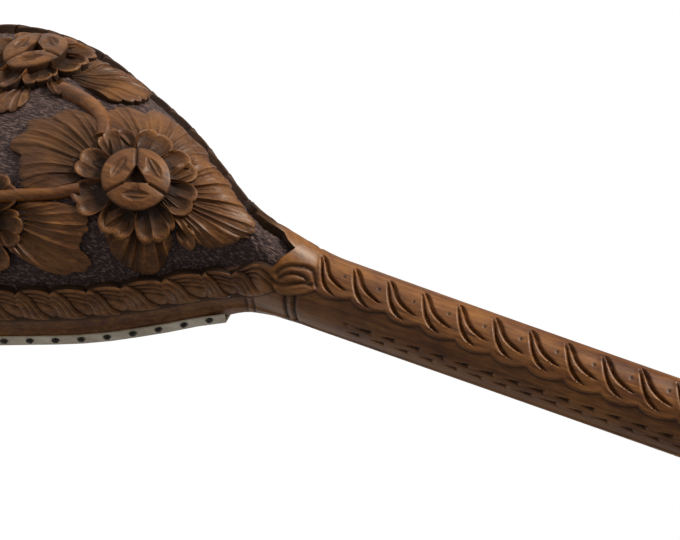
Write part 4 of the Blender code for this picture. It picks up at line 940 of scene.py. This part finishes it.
def stem(name, surface, material, path, radius=0.0031, top=-0.0010):
    """A round stalk along the points (s, x) of the path."""
    share = np.linspace(0, 1, len(path))
    fine = np.linspace(0, 1, 40)
    s, x = (smooth_through(list(zip(share, column)), fine) for column in zip(*path))
    found = [surface.under(place(a, 0.2, b), Vector((0, -1, 0))) for a, b in zip(s, x)]
    rings = []
    for i, (hit, normal) in enumerate(found):
        ahead, behind = found[min(i + 1, 39)][0], found[max(i - 1, 0)][0]
        side = normal.cross(ahead - behind).normalized()
        centre = hit + normal * (top - radius)
        turns = (math.tau * j / 18 for j in range(18))
        rings.append([centre + side * radius * math.cos(a) + normal * radius * math.sin(a) for a in turns])
    # painted shade on the stalk's underside, towards the ground
    high = np.array([[max(0.0, 0.8 - 1.1 * (1 + math.sin(math.tau * j / 18))) for j in range(18)]] * 40)
    piece = face_outwards(closed_loft(name, np.array(rings), material, {"sunk": high.reshape(-1)}))
    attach(piece, "body")
    return piece


LEAVES = {
    # name: s and x of the base, ribs, height of the top, depth of the flutes, how much painted shade darkens it,
    # and the outline as degrees from up the neck and a radius in millimetres
    "leaf_towards_neck": ((-0.0520, -0.0085), 17, -0.0010, 0.0010, 0.06, (
        (-35, 30), (-27, 40), (-11, 50), (0, 55), (12, 49), (23, 44), (41, 43), (60, 35), (69, 20))),
    "leaf_below_neck_flower": ((-0.0500, -0.0170), 9, -0.0016, 0.0019, 0.16, (
        (-145, 23), (-123, 29), (-95, 34), (-69, 36), (-61, 35), (-50, 28), (-40, 22))),
    "leaf_small_by_neck": ((-0.034, -0.019), 3, -0.0008, 0.0012, 0.15, ((-90, 7), (-73, 12), (-54, 16), (-29, 11), (0, 6))),
    "leaf_far_by_neck": ((-0.0600, 0.0030), 15, -0.0014, 0.0006, 0.12, (
        (22, 26), (30, 33), (43, 36), (60, 40), (70, 36), (88, 39), (106, 41), (116, 36), (133, 41), (148, 40), (158, 30))),
    "leaf_middle": ((-0.0740, -0.0110), 13, -0.0012, 0.0011, 0.3, (
        (116, 20), (123, 31), (132, 41), (143, 49), (152, 50), (162, 58), (168, 55), (178, 59), (186, 49), (195, 48),
        (209, 46), (219, 38), (228, 24))),
    "leaf_near_side": ((-0.1240, -0.0530), 11, -0.0014, 0.0011, 0, (
        (-54, 17), (-41, 29), (-33, 41), (-24, 49), (-14, 56), (-5, 48), (5, 51), (14, 49), (23, 35), (29, 22))),
    "leaf_far_side": ((-0.1300, 0.0430), 14, -0.0008, 0.0009, 0.08, (
        (-25, 32), (-17, 37), (-1, 43), (25, 43), (50, 39), (60, 28), (74, 30), (84, 16))),
    "leaf_between_flowers": ((-0.1500, 0.0430), 6, -0.0020, 0.0013, 0.1, ((-132, 28), (-118, 35), (-100, 37), (-86, 34), (-76, 26))),
    "bud_by_stem": ((-0.1450, 0.0450), 4, -0.0012, 0.0013, 0.1, ((-64, 22), (-54, 28), (-42, 29), (-34, 24))),
}
STEM_FAR = ((-0.128, 0.031), (-0.1185, 0.0290), (-0.1055, 0.0251), (-0.0980, 0.0203), (-0.0926, 0.0145), (-0.0890, 0.0070))
STEM_NEAR = ((-0.128, -0.046), (-0.1135, -0.0407), (-0.1041, -0.0371), (-0.0951, -0.0329), (-0.0850, -0.0265))
FLOWERS = (
    # (s and x of the middle), degrees the petals and the heart are turned by, lobes of each petal
    # and how far the flower stands up and its heart leans
    ((-0.0615, -0.010), 97, 55, (2, 3, 2, 2, 2, 3, 2, 2), 0.0, 0.0),
    ((-0.1585, 0.0540), 40, 49, (2, 3, 2, 2, 3, 2, 3, 2), 0.0018, 0.10),
    ((-0.1360, -0.0610), 15, 33, (3, 2, 3, 2, 2, 3, 2, 2), 0.0, 0.0),
    ((-0.2140, 0.0000), 22, 44, (2, 3, 2, 3, 2, 2, 3, 2), 0.0, 0.0),
)


def floral_carving(surface, material):
    for number, values in enumerate(FLOWERS, 1):
        flower(number, surface, material, *values)
    for name, (at, ribs, top, flute, extra_painted_shade, outline) in LEAVES.items():
        fan(name, surface, material, at, outline, ribs, top - LEAF_RISE, flute, extra_painted_shade)
    stem("stem_far", surface, material, STEM_FAR, 0.0043)
    stem("stem_near", surface, material, STEM_NEAR, 0.0034)


def near_string(points, radius, name, material, rounds=12, body="body"):
    """A strand along the points."""
    curve = bpy.data.curves.new(name, "CURVE")
    curve.dimensions = "3D"
    curve.bevel_depth = radius
    curve.bevel_resolution = 3
    curve.use_fill_caps = True
    spline = curve.splines.new("POLY")
    spline.points.add(len(points) - 1)
    for target, point in zip(spline.points, points):
        target.co = (*point, 1)
    strand = bpy.data.objects.new(name, curve)
    bpy.context.scene.collection.objects.link(strand)
    mesh = bpy.data.meshes.new_from_object(strand)
    bpy.data.objects.remove(strand)
    obj = bpy.data.objects.new(name, mesh)
    bpy.context.scene.collection.objects.link(obj)
    mesh.materials.clear()
    mesh.materials.append(material)
    mesh.polygons.foreach_set("use_smooth", [True] * len(mesh.polygons))
    return obj

SKIN_FRONT = -GAP - SKIN
LOOP_RADIUS = 0.0012
LOOP_REACH = 0.024
LOOP_FRONT = SKIN_FRONT - GAP - LOOP_RADIUS
NOTCH_DEPTH = 0.0018
TURNS = 3.5
TURN_PITCH = 0.0030
TURN_POINTS = 24
WINDING_RADIUS = PEG_THICK_END + GAP + STRING_RADIUS


def hair_string(hair):
    """The string in two lengths that meet in the bridge's notch, and its turns round the peg."""
    loop_end = place(BOTTOM + LOOP_REACH + GAP + LOOP_RADIUS + STRING_RADIUS, LOOP_FRONT - 0.0016)
    over = SKIN_FRONT - GAP - BRIDGE_HEIGHT + NOTCH_DEPTH - GAP - STRING_RADIUS
    half = BRIDGE_THICKNESS / 2
    top = place(PEG_AT, PEG_DEPTH - WINDING_RADIUS, TURNS * TURN_PITCH / 2)
    before, crown = place(BRIDGE_AT - half, over - 0.0002), place(BRIDGE_AT, over - 0.0008)
    after = place(BRIDGE_AT + half, over - 0.0008)
    below_peg = top - Vector((0, 0, 2.5 * STRING_RADIUS))
    lower = [loop_end.lerp(before, part) for part in np.linspace(0, 1, 24)] + [crown]
    upper = [crown] + [after.lerp(below_peg, part) for part in np.linspace(0, 1, 60)] + [top]
    strand = near_string(lower, STRING_RADIUS, "string_below_bridge", hair)
    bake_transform(strand)
    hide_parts("string")
    strand = near_string(upper, STRING_RADIUS, "string_above_bridge", hair)
    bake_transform(strand)
    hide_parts("string")
    centre = place(PEG_AT, PEG_DEPTH)
    turns = []
    for i in range(round(TURNS * TURN_POINTS * 2) + 1):
        turn = math.pi * i / TURN_POINTS
        across = TURNS * TURN_PITCH / 2 - TURN_PITCH * i / TURN_POINTS / 2
        turns.append(centre + Vector((across, -WINDING_RADIUS * math.cos(turn), WINDING_RADIUS * math.sin(turn))))
    winding = near_string(turns, STRING_RADIUS, "string_turns", hair)
    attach(winding, "peg")
    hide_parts("string_winding")

HEAD_SPINE = (
    # (depth, s from the peg box's end, half width, half depth, crest)
    (0.0125, 0.0000, HEAD_HALF_WIDTH + 0.0025, HEAD_DEPTH - 0.0005, 1.00),
    (0.0155, 0.0180, HEAD_HALF_WIDTH + 0.0018, HEAD_DEPTH + 0.0015, 1.10),
    (0.0170, 0.0380, HEAD_HALF_WIDTH + 0.0008, HEAD_DEPTH + 0.0015, 1.16),
    (0.0125, 0.0580, HEAD_HALF_WIDTH, HEAD_DEPTH, 1.16),
    (0.0000, 0.0705, HEAD_HALF_WIDTH - 0.0002, HEAD_DEPTH - 0.0020, 1.08),
    (-0.26 * HEAD_REACH, 0.0690, HEAD_HALF_WIDTH, HEAD_DEPTH - 0.0025, 1.00),
    (-0.51 * HEAD_REACH, 0.0590, HEAD_HALF_WIDTH - 0.0018, HEAD_DEPTH - 0.0055, 1.00),
    (-0.74 * HEAD_REACH, 0.0470, HEAD_HALF_WIDTH - 0.0036, HEAD_DEPTH - 0.0083, 1.00),
    (-0.91 * HEAD_REACH, 0.0375, HEAD_HALF_WIDTH - 0.0040, HEAD_DEPTH - 0.0090, 1.00),
    (-HEAD_REACH, 0.0325, HEAD_HALF_WIDTH - 0.0070, HEAD_DEPTH - 0.0125, 1.00),
)
EAR_LENGTH = 0.017
EAR_RADIUS = 0.0048


def head_values(k):
    """The head's spine, widths and crest at k, counted in spine points, by a curve through them."""
    last = len(HEAD_SPINE) - 1
    i = min(int(k), last - 1)
    u = k - i
    p0, p1, p2, p3 = (np.array(HEAD_SPINE[min(max(j, 0), last)]) for j in range(i - 1, i + 3))
    return p1 + 0.5 * u * (p2 - p0 + u * (2 * p0 - 5 * p1 + 4 * p2 - p3 + u * (3 * (p1 - p2) + p3 - p0)))


def head_carving(k, turn):
    """Height of the carving on the head's side, and its darkness (painted shade in its grooves and hollows, and a
    darker eye middle), at k and the angle up from the middle.
    """
    degrees = np.degrees(turn)
    eye = np.hypot((k - 4.95) / 0.17, (degrees - 30) / 11)
    height = 0.0013 * np.exp(-((eye / 0.75) ** 2)) - 0.0009 * np.exp(-(((eye - 1.30) / 0.35) ** 2))
    # painted shade in the groove round the eye; the eye's middle is darker too
    dark = 0.75 * np.exp(-(((eye - 1.20) / 0.35) ** 2)) + 0.55 * (eye < 0.45)
    nostril = np.hypot((k - 8.35) / 0.22, (degrees - 22) / 15)
    mouth = np.exp(-(((degrees + 22) / 5) ** 2)) * ease(6.9, 7.4, k)
    cheek = np.exp(-(((np.hypot((k - 5.1) / 0.75, (degrees + 26) / 42) - 1) / 0.16) ** 2)) * (k > 4.9)
    height = height - 0.0013 * np.exp(-(nostril**2)) - 0.0009 * mouth - 0.0005 * cheek
    # painted shade in the nostril, the mouth and the cheek line
    dark = np.maximum(dark, np.maximum(0.9 * np.exp(-(nostril**2)), np.maximum(0.8 * mouth, 0.25 * cheek)))
    mane = ease(44, 52, degrees) * (1 - ease(4.1, 4.5, k))
    lock = 0.5 + 0.5 * np.sin(math.tau * (2.6 * k + (90 - degrees) / 34))
    height = height + mane * (0.0013 * lock**0.7 - 0.0002)
    # painted shade between the mane's locks
    return height, np.maximum(dark, mane * 0.85 * (1 - lock) ** 2)


def head_ring(k, quarter):
    """A ring of the head's surface at k, and how dark the carving is painted at each point (painted shade, and the
    eye's middle).
    """
    depth, up, width, half_depth, crest = head_values(k)
    ahead = head_values(min(k + 0.05, len(HEAD_SPINE) - 1))
    behind = head_values(max(k - 0.05, 0))
    along = Vector((0, ahead[0] - behind[0], ahead[1] - behind[1])).normalized()
    away = np.array((0, along.z, -along.y))
    turn = np.radians(np.linspace(-90, 90, 2 * quarter + 1))
    ridge = 1 + (crest - 1) * ease(math.radians(68), math.radians(84), turn)
    x = width * np.cos(turn)
    x[0] = x[-1] = 0
    y = half_depth * np.sin(turn) * ridge
    height, dark = head_carving(k, turn)
    slope = np.hypot(np.cos(turn) / width, np.sin(turn) / half_depth)
    x[1:-1] += (height * np.cos(turn) / width / slope)[1:-1]
    y = y + height * np.sin(turn) / half_depth / slope
    half = np.array(place(PEG_BOX_END + up, depth)) + x[:, None] * np.array((1, 0, 0)) + y[:, None] * away
    return np.concatenate([half, half[-2:0:-1] * (-1, 1, 1)]), np.concatenate([dark, dark[-2:0:-1]])


def closed_loft(name, rings, material, attributes=None):
    rows, count = len(rings), len(rings[0])
    faces = [tuple(f) for f in ring_faces(rows, count)]
    faces += [tuple(range(count))[::-1], tuple((rows - 1) * count + i for i in range(count))]
    return mesh_object(name, np.concatenate(rings), faces, material, attributes)


def cut(obj, cutter, operation="DIFFERENCE"):
    """Cuts one solid with another, or joins them, and applies it."""
    modifier = obj.modifiers.new("cut", "BOOLEAN")
    modifier.operation = operation
    modifier.object = cutter
    modifier.solver = "EXACT"
    bpy.ops.object.select_all(action="DESELECT")
    bpy.context.view_layer.objects.active = obj
    obj.select_set(True)
    bpy.ops.object.modifier_apply(modifier="cut")
    bpy.data.objects.remove(cutter)


def peg_box_and_head(material):
    rings, _ = body_rings(np.linspace(PEG_BOX_START - 0.006, PEG_BOX_END - 0.002, 48), 8, 41)
    count = rings.shape[1]
    steps = (len(HEAD_SPINE) - 1) * 14
    head_rings, dark = zip(*(head_ring(i / 14, count // 4) for i in range(steps + 1)))
    sunk = np.concatenate([np.zeros(len(rings) * count), *dark])
    body = closed_loft("peg_box_and_head", [*rings, *head_rings], material, {"sunk": sunk})
    bpy.ops.object.select_all(action="DESELECT")
    bpy.ops.mesh.primitive_cube_add(size=1.0)
    slot = bpy.context.object
    slot.data.transform(Matrix.Translation(place(SLOT_AT, 0.0125)) @ Matrix.Diagonal((SLOT_WIDTH, 0.063, SLOT_LENGTH, 1)))
    round_edges(slot, 0.003, 4)
    cut(body, slot)
    bpy.ops.mesh.primitive_cube_add(size=1.0)
    groove = bpy.context.object
    start, end = PEG_BOX_START - 0.012, SLOT_AT - SLOT_LENGTH / 2 + 0.004
    bottom = PEG_DEPTH - WINDING_RADIUS + STRING_RADIUS + 0.0010
    front = -PEG_BOX_FORWARD - 0.01
    where = place((start + end) / 2, (bottom + front) / 2, TURNS * TURN_PITCH / 2)
    groove.data.transform(Matrix.Translation(where) @ Matrix.Diagonal((0.0044, bottom - front, end - start, 1)))
    cut(body, groove)
    bpy.ops.mesh.primitive_cone_add(vertices=48, radius1=0.0063, radius2=0.0043, depth=0.052)
    hole = bpy.context.object
    hole.data.transform(Matrix.Translation(place(PEG_AT, PEG_DEPTH)) @ Matrix.Rotation(math.radians(-90), 4, "Y"))
    cut(body, hole)
    for side in (-1, 1):
        depth, up, *_ = head_values(3.9)
        foot = place(PEG_BOX_END + up + HEAD_DEPTH * 0.55, depth + 0.002, side * HEAD_HALF_WIDTH * 0.5)
        lean = Vector((side * 0.22, 0.10, 1.0)).normalized()
        bpy.ops.mesh.primitive_cone_add(vertices=24, radius1=EAR_RADIUS, radius2=EAR_RADIUS * 0.22, depth=EAR_LENGTH)
        ear = bpy.context.object
        ear.data.transform(
            Matrix.Translation(foot) @ lean.to_track_quat("Z", "X").to_matrix().to_4x4() @ Matrix.Translation((0, 0, EAR_LENGTH / 2))
        )
        cut(body, ear, "UNION")
    body.data.polygons.foreach_set("use_smooth", [True] * len(body.data.polygons))
    body.data.set_sharp_from_angle(angle=math.radians(35))
    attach(body, "body")
    return body


def round_edges(obj, width, segments):
    modifier = obj.modifiers.new("round", "BEVEL")
    modifier.width = width
    modifier.segments = segments
    modifier.limit_method = "ANGLE"
    bpy.ops.object.select_all(action="DESELECT")
    bpy.context.view_layer.objects.active = obj
    obj.select_set(True)
    bpy.ops.object.modifier_apply(modifier="round")


def aim(obj, towards, up=(0, 0, 1)):
    back = (obj.location - Vector(towards)).normalized()
    across = Vector(up).cross(back).normalized()
    obj.rotation_euler = Matrix((across, back.cross(across), back)).transposed().to_euler()


def lamp(name, place_at, towards, size, power, colour=(1, 1, 1)):
    light = bpy.data.lights.new(name, "AREA")
    light.shape = "DISK"
    light.size = size
    light.energy = power
    light.color = colour
    obj = bpy.data.objects.new(name, light)
    obj.location = place_at
    bpy.context.scene.collection.objects.link(obj)
    aim(obj, towards, (0.1, 0.2, 1))
    return obj


def make_stage():
    low = cad_box[0][2] if hasattr(cad_box[0], "__len__") else -0.56
    bpy.ops.object.select_all(action="DESELECT")
    bpy.ops.mesh.primitive_plane_add(size=60.0, location=(0, 0, low - 0.002))
    floor = bpy.context.object
    floor.name = "floor"
    finish = Finish("pale_floor", (0.80, 0.80, 0.80, 1), Roughness=0.9)
    tree = finish.tree
    white = tree.nodes.new("ShaderNodeEmission")
    white.inputs["Strength"].default_value = 1.06
    path = tree.nodes.new("ShaderNodeLightPath")
    seen = Wire(tree, path.outputs["Is Camera Ray"]) * 0.94
    mixed = tree.nodes.new("ShaderNodeMixShader")
    plug(tree, seen, mixed.inputs[0])
    tree.links.new(finish.shader.outputs[0], mixed.inputs[1])
    tree.links.new(white.outputs[0], mixed.inputs[2])
    tree.links.new(mixed.outputs[0], tree.nodes["Material Output"].inputs["Surface"])
    floor.data.materials.append(finish.material)

    world = bpy.data.worlds.new("studio")
    bpy.context.scene.world = world
    world.use_nodes = True
    tree = world.node_tree
    tree.nodes.clear()
    path = tree.nodes.new("ShaderNodeLightPath")
    seen = Wire(tree, path.outputs["Is Camera Ray"]) + Wire(tree, path.outputs["Is Glossy Ray"]) * 0.10
    seen = seen + Wire(tree, path.outputs["Is Transmission Ray"])
    strength = seen.maths("MAXIMUM", seen, 0.20)
    strength = strength.maths("MINIMUM", strength, 1.0)
    background = tree.nodes.new("ShaderNodeBackground")
    background.inputs["Color"].default_value = grey(1.0)
    plug(tree, strength, background.inputs["Strength"])
    output = tree.nodes.new("ShaderNodeOutputWorld")
    tree.links.new(background.outputs[0], output.inputs["Surface"])

    middle = (0.0, 0.02, -0.30)
    lamp("key", (0.82, 0.80, 0.24), middle, 0.42, 15.5, (1.0, 0.94, 0.85))
    lamp("side", (-0.45, 0.42, -0.98), (-0.02, 0.05, -0.38), 0.25, 1.7, (0.74, 0.85, 1.0))
    lamp("front", (0.3, -1.3, 0.3), middle, 0.9, 10.0)

    camera = bpy.data.objects.new("camera", bpy.data.cameras.new("camera"))
    bpy.context.scene.collection.objects.link(camera)
    camera.location = (-0.4527, 0.7488, -0.0171)
    back = Vector((-0.5204, 0.8140, 0.2580)).normalized()
    aim(camera, camera.location - back, (0.7509, 0.5801, -0.3157))
    camera.data.lens = 92.24
    camera.data.sensor_width = 36.0
    camera.data.clip_start = 0.01
    bpy.context.scene.camera = camera
    bpy.context.scene.view_settings.view_transform = "Standard"


def main():
    maple = varnished_maple("varnished_maple")
    carved = varnished_maple("carved_maple", carved=True)
    skin, iron, hair, pale, cord = dried_skin(), old_iron(), horsehair(), pale_wood(), twisted_cord()
    nodes = frame["nodes"]
    looks = {"skin_belly": skin, "tail_button": pale, "bridge": pale, "tuning_peg": maple}
    looks.update({"tail_loop": cord, "string_winding": hair, "string": hair, "carved_body": maple})
    for name, obj in nodes.items():
        obj.data.materials.clear()
        obj.data.materials.append(looks.get(name, iron))
    carved_body(carved)
    surface = Surface()
    rope_band("rope_band_near", surface, carved, NEAR_ROPE_TOP, 0.285, -1)
    rope_band("rope_band_far", surface, carved, FAR_ROPE_TOP, 0.0205, 1)
    floral_carving(surface, carved)
    head = peg_box_and_head(carved)
    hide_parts("carved_body")
    hair_string(hair)
    make_stage()


main()
